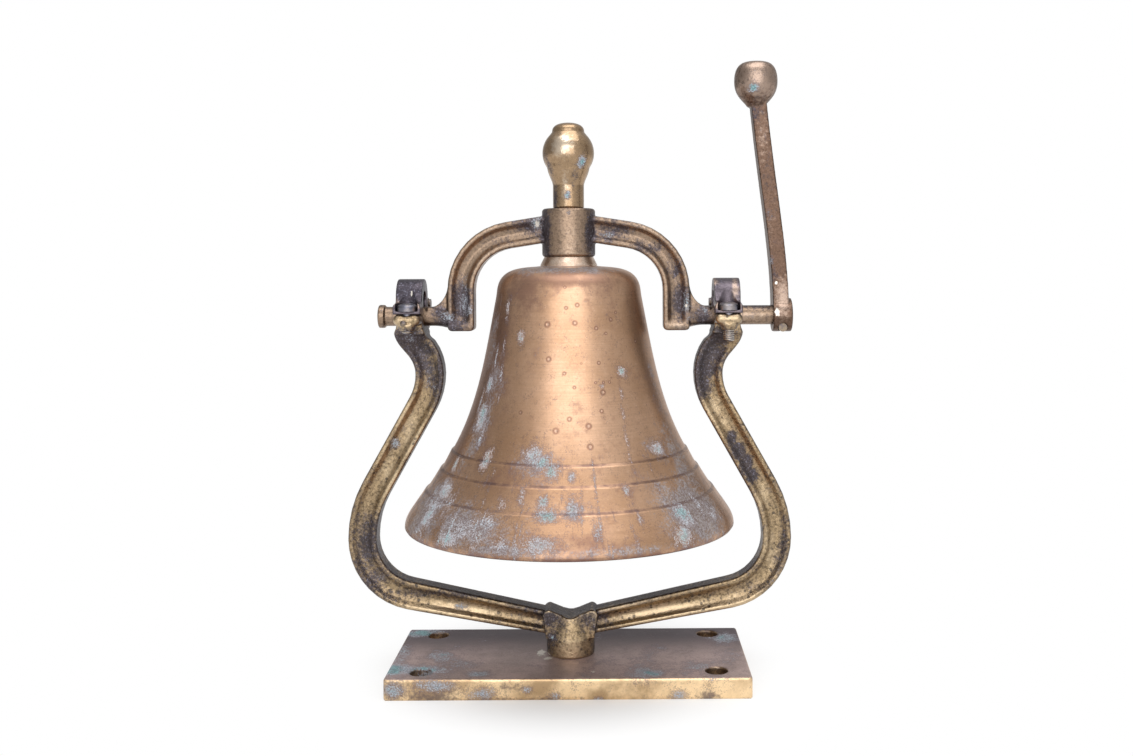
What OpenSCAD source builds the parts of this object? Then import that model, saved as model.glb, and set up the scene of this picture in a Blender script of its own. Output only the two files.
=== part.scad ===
// Locomotive bell: a bronze bell hung from a yoke that swings on two trunnions.
// The trunnions turn in hinged-cap bearings at the tops of a cast brass cradle,
// and the cradle stands by its foot on a flat base plate.
// The origin is the centre of the plate's underside: X along the trunnions, +Z up.

/* [Base plate] */
// Width of the plate, along the trunnions
plate_w = 271; // [245:1:330]
// Depth of the plate, front to back
plate_d = 120; // [108:1:160]
// Thickness of the plate
plate_t = 15.8; // [12:0.1:22]
// Radius of the plate's upright corners
plate_corner_r = 3; // [1:0.5:8]
// Width of the bevel round the plate's top edge
plate_bevel = 0.8; // [0.3:0.1:2]
// Spacing of the mounting holes along the trunnions
hole_pitch_x = 220; // [150:1:240]
// Spacing of the mounting holes, front to back
hole_pitch_y = 88; // [60:1:98]
// Diameter of the mounting holes
hole_d = 17; // [9:0.5:20]

/* [Cradle foot] */
// Radius of the round foot
foot_r = 18.7; // [16:0.1:24]
// Height of the straight part of the foot
foot_h = 14; // [10:0.5:20]
// Height of the two humps above the plate
hump_h = 36.2; // [33:0.1:40]
// Half the distance between the tops of the humps
hump_x = 16.2; // [13:0.1:18]
// Depth of the valley between the humps
valley_h = 6; // [3:0.1:9]
// Thickness of the crotch, front to back
crotch_d = 25; // [20:0.5:30]

/* [Cradle arms] */
// Height above the plate where the two arms' centrelines meet
arm_root_h = 22; // [19:0.1:26]
// Rise of the lower arms, in degrees
arm_rise = 11.3; // [8:0.1:15]
// Distance from the bell's axis to an arm's centreline at its widest
arm_reach = 160.6; // [152:0.1:170]
// Bend radius of the elbow
elbow_r = 45; // [35:0.5:50]
// Bend radius of the side above the elbow
side_r = 80; // [60:1:100]
// Inward lean of the upper arm, in degrees
arm_lean = 29.3; // [25:0.1:33]
// Distance from the bell's axis to the centreline at the neck
neck_reach = 107.7; // [104:0.1:112]
// Bend radius below the neck
neck_r = 47; // [38:0.5:55]
// Bend radius above the neck
throat_r = 33; // [26:0.5:38]
// Outward splay of the arm under its bearing, in degrees
arm_splay = 35; // [30:0.5:40]
// Width of an arm's fluted face at the foot
arm_root_w = 17.2; // [16:0.1:20]
// Width of an arm's fluted face from the elbow up
arm_w = 22; // [18:0.1:24]
// Thickness of an arm, front to back
arm_d = 17; // [14:0.1:20]
// Width of the raised rim along each edge of an arm
arm_rim = 3.2; // [2.4:0.1:4.5]
// Depth of the flute in each face of an arm
arm_flute = 3.8; // [2:0.1:5]

/* [Bearings] */
// Distance from the bell's axis to the middle of a bearing
bearing_x = 122; // [118:0.1:126]
// Length of a bearing along the trunnion
bearing_w = 20; // [17:0.1:22]
// Height of the trunnion's axis over the top of an arm's centreline
seat_h = 13.8; // [12.5:0.1:17]
// Metal under the trunnion
seat_floor = 6; // [4:0.1:7]
// Metal in front of and behind the trunnion
seat_wall = 7.4; // [6:0.1:9]
// Height of the joint face between cradle and cap, over the axis
joint_h = 2.5; // [1.5:0.1:3.5]
// Height of the cap's hollow over the axis
cap_hollow_h = 20; // [16:0.1:23]
// Metal over the cap's hollow
cap_crown = 9; // [6:0.1:11]
// Width of the clamping lugs
lug_w = 21; // [19:0.1:24]
// Thickness of the clamping lugs
lug_t = 8.8; // [8:0.1:11]
// Reach of the lugs in front of the bearing
lug_reach = 13; // [12:0.1:15]
// Radius of a hinge knuckle
knuckle_r = 5; // [4.4:0.1:5.5]
// Length of the cap's middle knuckle
knuckle_w = 9; // [7:0.1:10]
// Radius of a hinge pin
hinge_pin_r = 2.5; // [2:0.1:3]
// Thickness of a hinge pin's heads
hinge_head_t = 1.6; // [1:0.1:2.5]

/* [Clamp bolts] */
// Radius of a clamp bolt
clamp_r = 4; // [3:0.1:4.5]
// Radius of a clamp bolt's round head
clamp_head_r = 7.8; // [7:0.1:8]
// Height of a clamp bolt's head
clamp_head_h = 6.2; // [5:0.1:6.4]
// Floor left under a clamp bolt's head
clamp_floor = 2.2; // [1.6:0.1:3]
// Length of the threaded boss under a lug
clamp_boss_h = 4; // [2:0.1:6]
// Length of bolt that stands out below the right boss
clamp_tail_right = 8.5; // [2:0.1:12]
// Length of bolt that stands out below the left boss
clamp_tail_left = 2; // [1:0.1:12]

/* [Trunnions] */
// Radius of the trunnions
trunnion_r = 7.5; // [6.5:0.1:8.5]
// Radial play of the trunnions in their bearings
trunnion_play = 0.06; // [0.03:0.01:0.09]
// Length of trunnion past the left bearing, with its end flange
left_stub = 15.5; // [12:0.1:20]
// Radius of the left trunnion's end flange
flange_r = 9; // [8.5:0.1:11.5]
// Thickness of the left trunnion's end flange
flange_t = 5; // [3:0.1:8]

/* [Yoke] */
// Distance from the bell's axis to the centreline of a yoke leg
leg_reach = 83.2; // [79:0.1:86]
// Downward slope of the yoke's shoulders, in degrees
shoulder_slope = 9; // [6:0.1:12]
// Bend radius of the yoke's shoulders
shoulder_r = 43; // [38:0.5:52]
// Width of the yoke, across its fluted face
yoke_w = 20.4; // [18:0.1:23]
// Thickness of the yoke, front to back
yoke_d = 19; // [16:0.1:22]
// Width of the raised rims of the yoke
yoke_rim = 3.2; // [2.4:0.1:4.5]
// Depth of the flute in each face of the yoke
yoke_flute = 4.2; // [2:0.1:5.5]
// Height of the shoulders' meeting point over the trunnion axis
shoulder_h = 70; // [67:0.1:74]
// Length of a leg below the trunnion axis
leg_drop = 11.4; // [10:0.1:14]
// Solid end of a leg below its flute
leg_sole = 5; // [4:0.1:8]
// Height of the web over a trunnion's root
web_h = 20; // [12:0.5:24]
// Length of that web along the trunnion
web_l = 16; // [10:0.5:18]
// Thickness of that web
web_d = 13; // [9:0.1:14]
// Radius of the yoke's hub
hub_r = 20.6; // [18:0.1:24]
// Height of the hub's lower face over the trunnion axis
hub_h = 45.6; // [44:0.1:49]
// Height of the hub
hub_t = 37.4; // [34:0.1:42]

/* [Bell] */
// Radius of the bell's mouth
mouth_r = 127; // [120:0.5:132]
// Height of the bell from lip to crown
bell_h = 199.5; // [190:0.5:206]
// Radius of the crown's outer edge, before its shoulder is rounded
crown_r = 56.3; // [52:0.1:60]
// Fall of the crown from its centre to its shoulder
crown_fall = 5; // [2:0.1:8]
// Radius that rounds the shoulder
shoulder_round = 12.5; // [9:0.1:15]
// Height of the lip's sound bow above the mouth
bow_h = 17; // [12:0.1:22]
// Radius of the bell at the top of its sound bow
bow_r = 119.6; // [112:0.1:122]
// Height above the mouth of the upper moulding
band_h = 59; // [55:0.5:64]
// Radius of the bell at the upper moulding
band_r = 90; // [86:0.5:94]
// Height above the mouth of the middle moulding
middle_band_h = 45.5; // [42:0.5:50]
// Height above the mouth of the lower moulding
lower_band_h = 29; // [25:0.5:33]
// Step of each moulding
band_step = 1.1; // [0.6:0.1:2]
// Wall of the waist
waist_t = 8.5; // [6:0.1:11]
// Wall of the crown
crown_t = 10; // [7:0.1:13]
// Wall at the sound bow
bow_t = 15; // [12:0.1:18]
// Wall at the lip's edge
lip_t = 7; // [5:0.1:9]

/* [Crown fastening] */
// Thickness of the tapered collar between yoke and bell
collar_t = 7; // [5:0.1:10]
// Radius of the collar's top
collar_top_r = 19; // [16:0.1:20]
// Radius of the collar's base
collar_base_r = 22; // [20:0.1:26]
// Radius of the crown stud
stud_r = 9; // [7:0.1:10]
// Radial clearance of the holes round the stud
stud_gap = 0.3; // [0.1:0.05:0.5]
// Radius of the acorn nut's shank
acorn_shank_r = 12; // [11.5:0.1:15]
// Radius of the acorn nut's ball
acorn_ball_r = 20; // [17:0.1:23]
// Height of the ball's centre over the hub
acorn_ball_h = 43; // [38:0.5:48]
// Radius of the nub on top of the ball
acorn_nub_r = 11.5; // [9:0.1:13]
// Overall height of the acorn nut
acorn_h = 66.7; // [62:0.1:72]
// Depth of the stud in the acorn nut
acorn_bore_h = 26; // [18:0.5:32]
// Thickness of the washer under the crown
washer_t = 4; // [2.5:0.1:6]
// Radius of the washer under the crown
washer_r = 20; // [17:0.1:24]
// Width of the crown nut across its flats
nut_af = 28; // [26:0.5:34]
// Height of the crown nut
nut_h = 12; // [8:0.5:14]

/* [Clapper] */
// Radius of the fork head at the stud's lower end
fork_r = 13; // [12:0.1:15]
// Height of the solid part of the fork head
fork_head_h = 14; // [10:0.5:18]
// Drop of the clapper pin below the solid part
fork_drop = 14; // [13:0.5:17]
// Width of the gap between the fork's cheeks
fork_gap = 9; // [7:0.1:11]
// Radius of the clapper pin
clapper_pin_r = 3.5; // [2.8:0.1:4]
// Radial play of the clapper on its pin
clapper_play = 0.06; // [0.03:0.01:0.09]
// Side play of the clapper's eye in the fork, each side
eye_side_play = 0.4; // [0.3:0.05:0.8]
// Radius of the clapper rod's eye
eye_r = 8.5; // [7.5:0.1:9.5]
// Radius of the clapper rod
rod_r = 4; // [3:0.1:5]
// Length from the clapper pin to the middle of the ball
clapper_l = 120; // [112:0.5:128]
// Radius of the clapper's ball
ball_r = 19; // [16:0.1:21]
// Length of rod below the ball
rod_tail = 14; // [11:0.5:18]
// Width of the clapper's lock nut across its flats
tip_nut_af = 13; // [11:0.5:16]
// Height of the clapper's lock nut
tip_nut_h = 7; // [5:0.1:9]

/* [Ringing lever] */
// Distance from the bell's axis to the middle of the lever's hub
lever_x = 165.2; // [160:0.1:170]
// Length of the lever's hub along the trunnion
lever_hub_w = 14.8; // [12:0.1:18]
// Radius of the lever's hub
lever_hub_r = 13; // [12:0.1:15]
// Width of the stem just above the hub
stem_root_w = 12.2; // [10:0.1:15]
// Width of the stem under the knob
stem_tip_w = 12.2; // [10:0.1:14]
// Distance that the stem's lower half stands in from the middle of the hub
stem_set = 1.2; // [0:0.1:2]
// Thickness of the stem at the hub, front to back
stem_root_d = 19; // [15:0.1:22]
// Thickness of the stem under the knob, front to back
stem_tip_d = 13; // [10:0.1:16]
// Height of the knob's middle over the trunnion axis
lever_h = 181; // [160:0.5:195]
// Inward lean of the knob from the hub
lever_lean = 19.5; // [14:0.1:24]
// Radius of the knob
knob_r = 16.8; // [14:0.1:19]
// Height of the knob above its middle
knob_top = 15; // [12:0.1:17]
// Height of the knob's neck below its middle
knob_neck = 20; // [16:0.1:24]
// Radius of the taper pin that locks the lever
taper_pin_r = 3.3; // [2.5:0.1:3.6]
// Depth of the taper pin below the trunnion axis
taper_pin_drop = 9.4; // [9:0.1:9.6]

/* [Foot screw] */
// Radius of the screw that holds the cradle to the plate
foot_screw_r = 8; // [6:0.1:9]
// Radius of the screw's countersunk head
foot_screw_head_r = 14; // [12:0.1:15]
// Length of the screw above the plate
foot_screw_reach = 24; // [16:0.5:27]
// Depth of the screw's head below the plate's underside
foot_screw_sink = 0.5; // [0.2:0.1:1.5]
// Width of the screwdriver slot
slot_w = 3; // [2:0.1:4]
// Depth of the screwdriver slot
slot_depth = 2.5; // [1.5:0.1:4]

/* [Hidden] */

$fn = 96;
fit = 0.1;           // clearance between a pin or bolt and its hole, where nothing turns
over = 1;            // how far a cutting solid runs past a face
bend_step = 9;       // degrees between the stations of a swept arm
middle_r = 30;       // bend inside the foot or the hub, where two arms meet
brass = [0.72, 0.56, 0.32];
dark_brass = [0.40, 0.35, 0.33];
bronze = [0.73, 0.50, 0.34];
steel = [0.45, 0.48, 0.52];

// Corner points of the cradle's centreline, in X and Z: from the left bearing down to the
// foot, and up again to the right bearing.
root_z = plate_t + arm_root_h;
elbow_z = root_z + arm_reach * tan(arm_rise);
side_z = elbow_z + elbow_r * tan((90 - arm_rise) / 2) + side_r * tan(arm_lean / 2);
neck_z = side_z + (arm_reach - neck_reach) / tan(arm_lean);
throat_z = neck_z + neck_r * tan(arm_lean / 2) + throat_r * tan(arm_splay / 2);
arm_top_z = throat_z + (bearing_x - neck_reach) / tan(arm_splay);
right_arm = [
    [arm_reach, elbow_z], [arm_reach, side_z],
    [neck_reach, neck_z], [neck_reach, throat_z], [bearing_x, arm_top_z]
];
cradle_corners = concat(mirrored(right_arm), [[0, root_z]], right_arm);
cradle_bends = [throat_r, neck_r, side_r, elbow_r, middle_r, elbow_r, side_r, neck_r, throat_r];
cradle_sizes = [for (i = [0:10]) [i == 5 ? arm_root_w : arm_w, arm_d, arm_flute]];

// The trunnion axis, and what hangs from it.
axis_z = arm_top_z + seat_h;
seat_r = trunnion_r + trunnion_play;
block_d = 2 * (seat_r + seat_wall);
hinge_y = block_d / 2 + knuckle_r + 0.4;
hinge_z = joint_h + knuckle_r + 1.6;
clamp_y = -(block_d / 2 + lug_reach - lug_t / 2 - 2);
lug_bottom = joint_h - lug_t;

hub_z = axis_z + hub_h;
shoulder_z = axis_z + shoulder_h;
sole_z = axis_z - leg_drop;
right_leg = [
    [leg_reach, shoulder_z - leg_reach * tan(shoulder_slope)], [leg_reach, sole_z]
];
yoke_corners = concat(mirrored(right_leg), [[0, shoulder_z]], right_leg);
yoke_bends = [shoulder_r, middle_r, shoulder_r];
yoke_sizes = [for (i = [0:4]) [yoke_w, yoke_d, yoke_flute]];

// The trunnions start inside the outer rims, so that nothing stands up in the legs' flutes.
leg_face = leg_reach + yoke_w / 2;
root_start = leg_face - yoke_rim + 0.6;

// The bell hangs under the hub by the collar's thickness.
crown_z = hub_z - collar_t;
mouth_z = crown_z - bell_h;
inner_crown_z = crown_z - crown_t;
washer_z = inner_crown_z - washer_t;
nut_z = washer_z - nut_h;
fork_z = nut_z - fork_head_h;
pivot_z = fork_z - fork_drop;
ball_z = pivot_z - clapper_l;

// Points of a circular arc about c, from angle a to angle b.
function arc(c, r, a, b, n = 12) =
    [for (i = [0:n]) c + r * [cos(a + (b - a) * i / n), sin(a + (b - a) * i / n)]];

// Points of a cubic curve with end points a and d, and handles b and c.
function curve(a, b, c, d, n = 16) =
    [for (i = [0:n]) let (t = i / n, s = 1 - t)
        s * s * s * a + 3 * s * s * t * b + 3 * s * t * t * c + t * t * t * d];

function mirrored(p) = [for (i = [len(p) - 1:-1:0]) [-p[i][0], p[i][1]]];
function heading(a, b) = atan2(b[1] - a[1], b[0] - a[0]);
function along(a, angle, l) = a + l * [cos(angle), sin(angle)];

// Turn at corner i of a path, and the length that its bend takes from each side.
function turn(p, i) = heading(p[i], p[i + 1]) - heading(p[i - 1], p[i]);
function setback(p, bends, i) = bends[i - 1] * tan(abs(turn(p, i)) / 2);

// Stations of a bend at corner i. Each has its place, its heading, and the section's
// width, depth and flute there.
function bend_stations(p, bends, sizes, i) =
    let (
        first = heading(p[i - 1], p[i]),
        side = sign(turn(p, i)),
        start = along(p[i], first, -setback(p, bends, i)),
        centre = along(start, first + 90 * side, bends[i - 1]),
        n = ceil(abs(turn(p, i)) / bend_step)
    )
    [for (k = [0:n]) let (h = first + turn(p, i) * k / n)
        [along(centre, h - 90 * side, bends[i - 1]), h, sizes[i]]];

// Stations of a path with rounded corners, then those of its end, and at its start the
// same end seen in a mirror.
function stations(p, bends, sizes, end) = concat(
    [for (i = [len(end) - 1:-1:0]) let (s = end[i]) [[-s[0][0], s[0][1]], -s[1], s[2]]],
    [for (i = [1:len(bends)]) each bend_stations(p, bends, sizes, i)],
    end
);

// Upper end of the right arm: it fills out, front to back as well, into its bearing's
// underside, and its flute runs out.
flare_start = [neck_reach + throat_r * (1 - cos(arm_splay)),
               throat_z + throat_r * tan(arm_splay / 2) * cos(arm_splay)];
flare_top = [bearing_x, axis_z - seat_r - seat_floor + 1];
flare_line = curve(flare_start, along(flare_start, 90 - arm_splay, 5),
                   flare_top - [0, 6], flare_top, 8);
flare_end = concat(
    [for (i = [1:8]) let (t = i / 8, fill = t * t)
        [flare_line[i], 90 - arm_splay * (1 - t),
         [arm_w + (bearing_w + 4 - arm_w) * fill, arm_d + (block_d - 1 - arm_d) * fill,
          max(0.05, arm_flute * (1 - 1.3 * t))]]],
    [[flare_top + [0, 4], 90, [bearing_w + 0.6, block_d + 0.6, 0.05]]]
);

// Lower end of the right leg: its flute runs out above a sole with rounded edges.
sole_r = 3;
sole_end = concat(
    [for (i = [0:4]) let (t = i / 4)
        [[leg_reach, sole_z + leg_sole + 6 * (1 - t)], -90,
         [yoke_w, yoke_d, max(0.05, yoke_flute * cos(90 * t))]]],
    [for (a = [0:30:90])
        [[leg_reach, sole_z + sole_r * (1 - sin(a))], -90,
         [yoke_w - 2 * sole_r * (1 - cos(a)), yoke_d - sole_r * (1 - cos(a)), 0.05]]]
);

// Cross-section of an arm: a web between two rims with rounded edges, fluted on both faces.
function channel_section(w, d, rim, flute) =
    let (
        edge = rim * 0.45,
        bed = w / 2 - rim,
        bed_r = (bed * bed + flute * flute) / (2 * flute),
        reach = asin(bed / bed_r),
        face = [
            each arc([w / 2 - edge, d / 2 - edge], edge, 0, 90, 2),
            for (k = [0:4]) let (a = reach - reach * k / 2)
                [bed_r * sin(a), d / 2 + bed_r - flute - bed_r * cos(a)],
            each arc([edge - w / 2, d / 2 - edge], edge, 90, 180, 2)
        ]
    )
    concat(face, [for (q = face) -q]);

// Sweeps the section through the stations of a line that is drawn flat, as one closed solid.
module swept_channel(line, rim) {
    m = len(channel_section(20, 20, rim, 1));
    last = (len(line) - 1) * m;
    points = [for (s = line) for (q = channel_section(s[2][0], s[2][1], rim, s[2][2]))
        [s[0][0] - q[0] * sin(s[1]), s[0][1] + q[0] * cos(s[1]), q[1]]];
    walls = [for (j = [0:len(line) - 2]) for (k = [0:m - 1])
        let (a = j * m + k, b = j * m + (k + 1) % m)
        each [[a, b + m, b], [a, a + m, b + m]]];
    polyhedron(points, concat(
        walls, [[for (k = [0:m - 1]) k]], [[for (k = [m - 1:-1:0]) last + k]]
    ));
}

// Stands a flat drawing upright: its first axis stays X and its second becomes Z.
module upright() {
    rotate([90, 0, 0]) children();
}

module along_x(r, l) {
    rotate([0, 90, 0]) cylinder(r = r, h = l, center = true);
}

module along_y(r, l) {
    rotate([90, 0, 0]) cylinder(r = r, h = l, center = true);
}

module hex(af, h) {
    cylinder(r = af / 2 / cos(30), h = h, $fn = 6);
}

module both_sides() {
    children();
    mirror([1, 0, 0]) children();
}

// Base plate: a flat cast slab with four mounting holes and one countersunk from below.
module base_plate() {
    color(brass) difference() {
        intersection() {
            linear_extrude(plate_t) plate_outline();
            upright() translate([0, 0, -plate_d / 2]) linear_extrude(plate_d)
                beveled_side(plate_w);
            rotate([90, 0, 90]) translate([0, 0, -plate_w / 2]) linear_extrude(plate_w)
                beveled_side(plate_d);
        }
        for (x = [-1, 1], y = [-1, 1])
            translate([x * hole_pitch_x / 2, y * hole_pitch_y / 2, -over])
                cylinder(d = hole_d, h = plate_t + 2 * over);
        translate([0, 0, -over]) cylinder(r = foot_screw_r + fit, h = plate_t + 2 * over);
        countersink(-over);
    }
}

module plate_outline() {
    x = plate_w / 2 - plate_corner_r;
    y = plate_d / 2 - plate_corner_r;
    square([plate_w, 2 * y], center = true);
    square([2 * x, plate_d], center = true);
    for (i = [-1, 1], j = [-1, 1])
        translate([i * x, j * y]) circle(plate_corner_r, $fn = 48);
}

module beveled_side(w) {
    polygon([
        [-w / 2, 0], [w / 2, 0], [w / 2, plate_t - plate_bevel],
        [w / 2 - plate_bevel, plate_t], [plate_bevel - w / 2, plate_t],
        [-w / 2, plate_t - plate_bevel]
    ]);
}

// Cone that the foot screw's head and its seat in the plate share, from a given height up.
module countersink(low) {
    rise = foot_screw_head_r - foot_screw_r;
    rotate_extrude() polygon([
        [0, low], [foot_screw_head_r, low], [foot_screw_head_r, foot_screw_sink + 1],
        [foot_screw_r, foot_screw_sink + 1 + rise], [0, foot_screw_sink + 1 + rise]
    ]);
}

// Screw through the plate into the cradle's foot.
module foot_screw() {
    color(steel) difference() {
        union() {
            countersink(foot_screw_sink);
            cylinder_between(foot_screw_r, foot_screw_sink + 1, plate_t + foot_screw_reach - 1);
        }
        translate([0, 0, foot_screw_sink])
            cube([2 * foot_screw_head_r + 2, slot_w, 2 * slot_depth], center = true);
    }
}

module cylinder_between(r, low, high) {
    translate([0, 0, low]) cylinder(r = r, h = high - low);
}

// Cradle: foot, two swept arms of channel section, and the lower halves of the bearings.
module cradle() {
    color(brass) difference() {
        union() {
            upright() swept_channel(
                stations(cradle_corners, cradle_bends, cradle_sizes, flare_end), arm_rim);
            cradle_foot();
            both_sides() translate([bearing_x, 0, axis_z]) bearing_block();
        }
        crotch_valley();
        cylinder_between(foot_screw_r + fit, plate_t - over, plate_t + foot_screw_reach);
        both_sides() translate([bearing_x, 0, axis_z]) bearing_cuts();
    }
}

module cradle_foot() {
    translate([0, 0, plate_t]) rotate_extrude() polygon([
        [0, 0], [foot_r, 0], [foot_r, foot_h],
        [crotch_d / 2 + 1, hump_h - 2], [0, hump_h - 2]
    ]);
    upright() translate([0, plate_t, -crotch_d / 2]) linear_extrude(crotch_d)
        polygon([
            [-foot_r, foot_h], [foot_r, foot_h],
            each arc([hump_x, hump_h - 5], 5, 10, 90),
            each arc([-hump_x, hump_h - 5], 5, 90, 170)
        ]);
}

// The valley between the two humps, open above and right through from front to back.
module crotch_valley() {
    low = plate_t + hump_h - valley_h;
    upright() translate([0, 0, -foot_r - over]) linear_extrude(2 * (foot_r + over))
        polygon([
            [-hump_x, low + valley_h], [-1.5, low], [1.5, low], [hump_x, low + valley_h],
            [hump_x, low + valley_h + 20], [-hump_x, low + valley_h + 20]
        ]);
}

module bearing_block() {
    bottom = -seat_r - seat_floor;
    translate([-bearing_w / 2, -block_d / 2, bottom])
        cube([bearing_w, block_d, joint_h - bottom]);
    lower_lug();
    // Ears of the hinge behind the bearing.
    for (s = [-1, 1]) translate([s * (bearing_w + knuckle_w + 0.6) / 4, 0, 0]) {
        w = (bearing_w - knuckle_w - 0.6) / 2;
        translate([0, hinge_y, hinge_z]) along_x(knuckle_r, w);
        translate([-w / 2, block_d / 2 - 1, bottom + 3])
            cube([w, hinge_y + knuckle_r - block_d / 2 + 1, hinge_z - bottom - 3]);
    }
}

// Lug with rounded sides and a bull nose, and the threaded boss under it.
module lower_lug() {
    r = lug_t / 2;
    half = lug_w / 2 - r;
    nose_y = -(block_d / 2 + lug_reach - r);
    root_y = -block_d / 2 + 1;
    translate([0, 0, joint_h - r]) {
        translate([-half, nose_y, -r]) cube([2 * half, root_y - nose_y, lug_t]);
        translate([0, nose_y, 0]) along_x(r, 2 * half);
        for (s = [-1, 1]) translate([s * half, 0, 0]) {
            translate([0, nose_y, 0]) sphere(r, $fn = 48);
            translate([0, (nose_y + root_y) / 2, 0]) along_y(r, root_y - nose_y);
        }
    }
    translate([0, clamp_y, lug_bottom - clamp_boss_h])
        cylinder(r1 = clamp_r + 2, r2 = clamp_r + 3.4, h = clamp_boss_h + 1);
}

// Trunnion seat, hinge bore and clamp bolt hole, all open to their own sides.
module bearing_cuts() {
    along_x(seat_r, bearing_w + 2 * over);
    translate([-bearing_w / 2 - over, -seat_r, 0])
        cube([bearing_w + 2 * over, 2 * seat_r, joint_h + over]);
    // Room for the closed cap behind the joint face.
    translate([-bearing_w / 2 - over, 0, joint_h])
        cube([bearing_w + 2 * over, block_d / 2 + 0.3, cap_hollow_h]);
    translate([0, hinge_y, hinge_z]) along_x(hinge_pin_r + fit, bearing_w + 2 * over);
    translate([0, clamp_y, lug_bottom - clamp_boss_h - over])
        cylinder(r = clamp_r + fit, h = lug_t + clamp_boss_h + 2 * over);
    translate([-knuckle_w / 2 - 0.3, block_d / 2, hinge_z - knuckle_r - 0.6])
        cube([knuckle_w + 0.6, hinge_y, 2 * knuckle_r + 2]);
}

// Hinged cap: a hoop over the trunnion with a knuckle behind and a lug in front.
module bearing_cap() {
    outer_r = block_d / 2;
    difference() {
        union() {
            rotate([90, 0, 90]) translate([0, 0, -bearing_w / 2]) linear_extrude(bearing_w)
                hoop_outline(outer_r, cap_hollow_h + cap_crown);
            translate([0, hinge_y, hinge_z]) along_x(knuckle_r, knuckle_w);
            translate([-knuckle_w / 2, outer_r - 2, hinge_z - knuckle_r])
                cube([knuckle_w, hinge_y - outer_r + 2, 2 * knuckle_r]);
            upper_lug();
            hoop_foot(outer_r, joint_h + lug_t - 0.5);
        }
        rotate([90, 0, 90]) translate([0, 0, -bearing_w / 2 - over])
            linear_extrude(bearing_w + 2 * over) hoop_outline(seat_r, cap_hollow_h);
        translate([0, hinge_y, hinge_z]) along_x(hinge_pin_r + fit, bearing_w);
        translate([0, clamp_y, joint_h - over])
            cylinder(r = clamp_r + fit, h = lug_t + 2 * over);
        head_recess();
    }
}

// Straight sides up from the joint face, closed by a half circle.
module hoop_outline(r, h) {
    polygon([[-r, joint_h], [r, joint_h], each arc([0, h - r], r, 0, 180, 24)]);
}

module upper_lug() {
    root_y = -block_d / 2 + 1;
    nose_y = -(block_d / 2 + lug_reach - 1.5);
    upright() translate([0, joint_h, -root_y]) linear_extrude(root_y - nose_y)
        polygon([
            [-lug_w / 2, 0], [lug_w / 2, 0], [lug_w / 2, lug_t - 4],
            each arc([lug_w / 2 - 4, lug_t - 4], 4, 0, 90, 8),
            each arc([4 - lug_w / 2, lug_t - 4], 4, 90, 180, 8)
        ]);
}

// Hollow curve where the hoop's front stands on the lug.
module hoop_foot(outer_r, lug_top) {
    rotate([90, 0, 90]) translate([0, 0, -bearing_w / 2 + 0.2]) linear_extrude(bearing_w - 0.4)
        polygon([
            [1 - outer_r, lug_top - 2], [-outer_r - 6, lug_top - 2],
            each curve([-outer_r - 6, lug_top], [-outer_r - 2, lug_top],
                       [-outer_r, lug_top + 2], [0.4 - outer_r, lug_top + 7], 8),
            [1 - outer_r, lug_top + 7]
        ]);
}

// Spot face for the clamp bolt's head, open to the front and above.
module head_recess() {
    r = clamp_head_r + 0.5;
    translate([0, clamp_y, joint_h + clamp_floor]) {
        cylinder(r = r, h = lug_t + 8);
        translate([-r, -lug_reach, 0]) cube([2 * r, lug_reach, lug_t + 8]);
    }
}

// Hinge pin with a riveted head at each end.
module hinge_pin(side) {
    color(dark_brass) translate([side * bearing_x, hinge_y, axis_z + hinge_z]) {
        along_x(hinge_pin_r, bearing_w + 2);
        for (s = [-1, 1])
            translate([s * (bearing_w + hinge_head_t) / 2, 0, 0])
                along_x(hinge_pin_r + 1.2, hinge_head_t);
    }
}

// Clamp bolt: its round slotted head holds the cap's lug down on the cradle's lug.
module clamp_bolt(side, tail) {
    tip = lug_bottom - clamp_boss_h - tail;
    seat = joint_h + clamp_floor;
    top = seat + clamp_head_h;
    rim_h = clamp_head_h * 0.45;
    color(steel) translate([side * bearing_x, clamp_y, axis_z]) difference() {
        rotate_extrude() polygon([
            [0, tip], [clamp_r - 1, tip], [clamp_r, tip + 1], [clamp_r, seat],
            [clamp_head_r, seat],
            each curve([clamp_head_r, seat + rim_h], [clamp_head_r - 0.5, top - 0.8],
                       [clamp_head_r * 0.5, top], [0, top], 10)
        ]);
        translate([0, 0, top]) cube([2 * clamp_head_r, 1.6, 3.2], center = true);
    }
}

// Yoke: hub, two fluted shoulders and legs, and the trunnions cast on in one.
module yoke() {
    color(brass) difference() {
        union() {
            upright() swept_channel(
                stations(yoke_corners, yoke_bends, yoke_sizes, sole_end), yoke_rim);
            both_sides() root_web();
            yoke_hub();
            trunnions();
        }
        cylinder_between(stud_r + stud_gap, hub_z - over, hub_z + hub_t + over);
    }
}

module yoke_hub() {
    bevel = 1.5;
    translate([0, 0, hub_z]) rotate_extrude() polygon([
        [0, 0], [hub_r - bevel, 0], [hub_r, bevel],
        [hub_r, hub_t - bevel], [hub_r - bevel, hub_t], [0, hub_t]
    ]);
}

// Web over a trunnion's root, hollow from the leg's outer face to the trunnion.
module root_web() {
    upright() translate([0, axis_z, -web_d / 2]) linear_extrude(web_d) polygon([
        [root_start, 0], [root_start, trunnion_r + web_h],
        each curve([leg_face - 0.5, trunnion_r + web_h], [leg_face, trunnion_r + web_h * 0.4],
                   [leg_face + web_l * 0.35, trunnion_r - 0.5],
                   [leg_face + web_l, trunnion_r - 1], 8),
        [leg_face + web_l, 0]
    ]);
}

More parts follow.
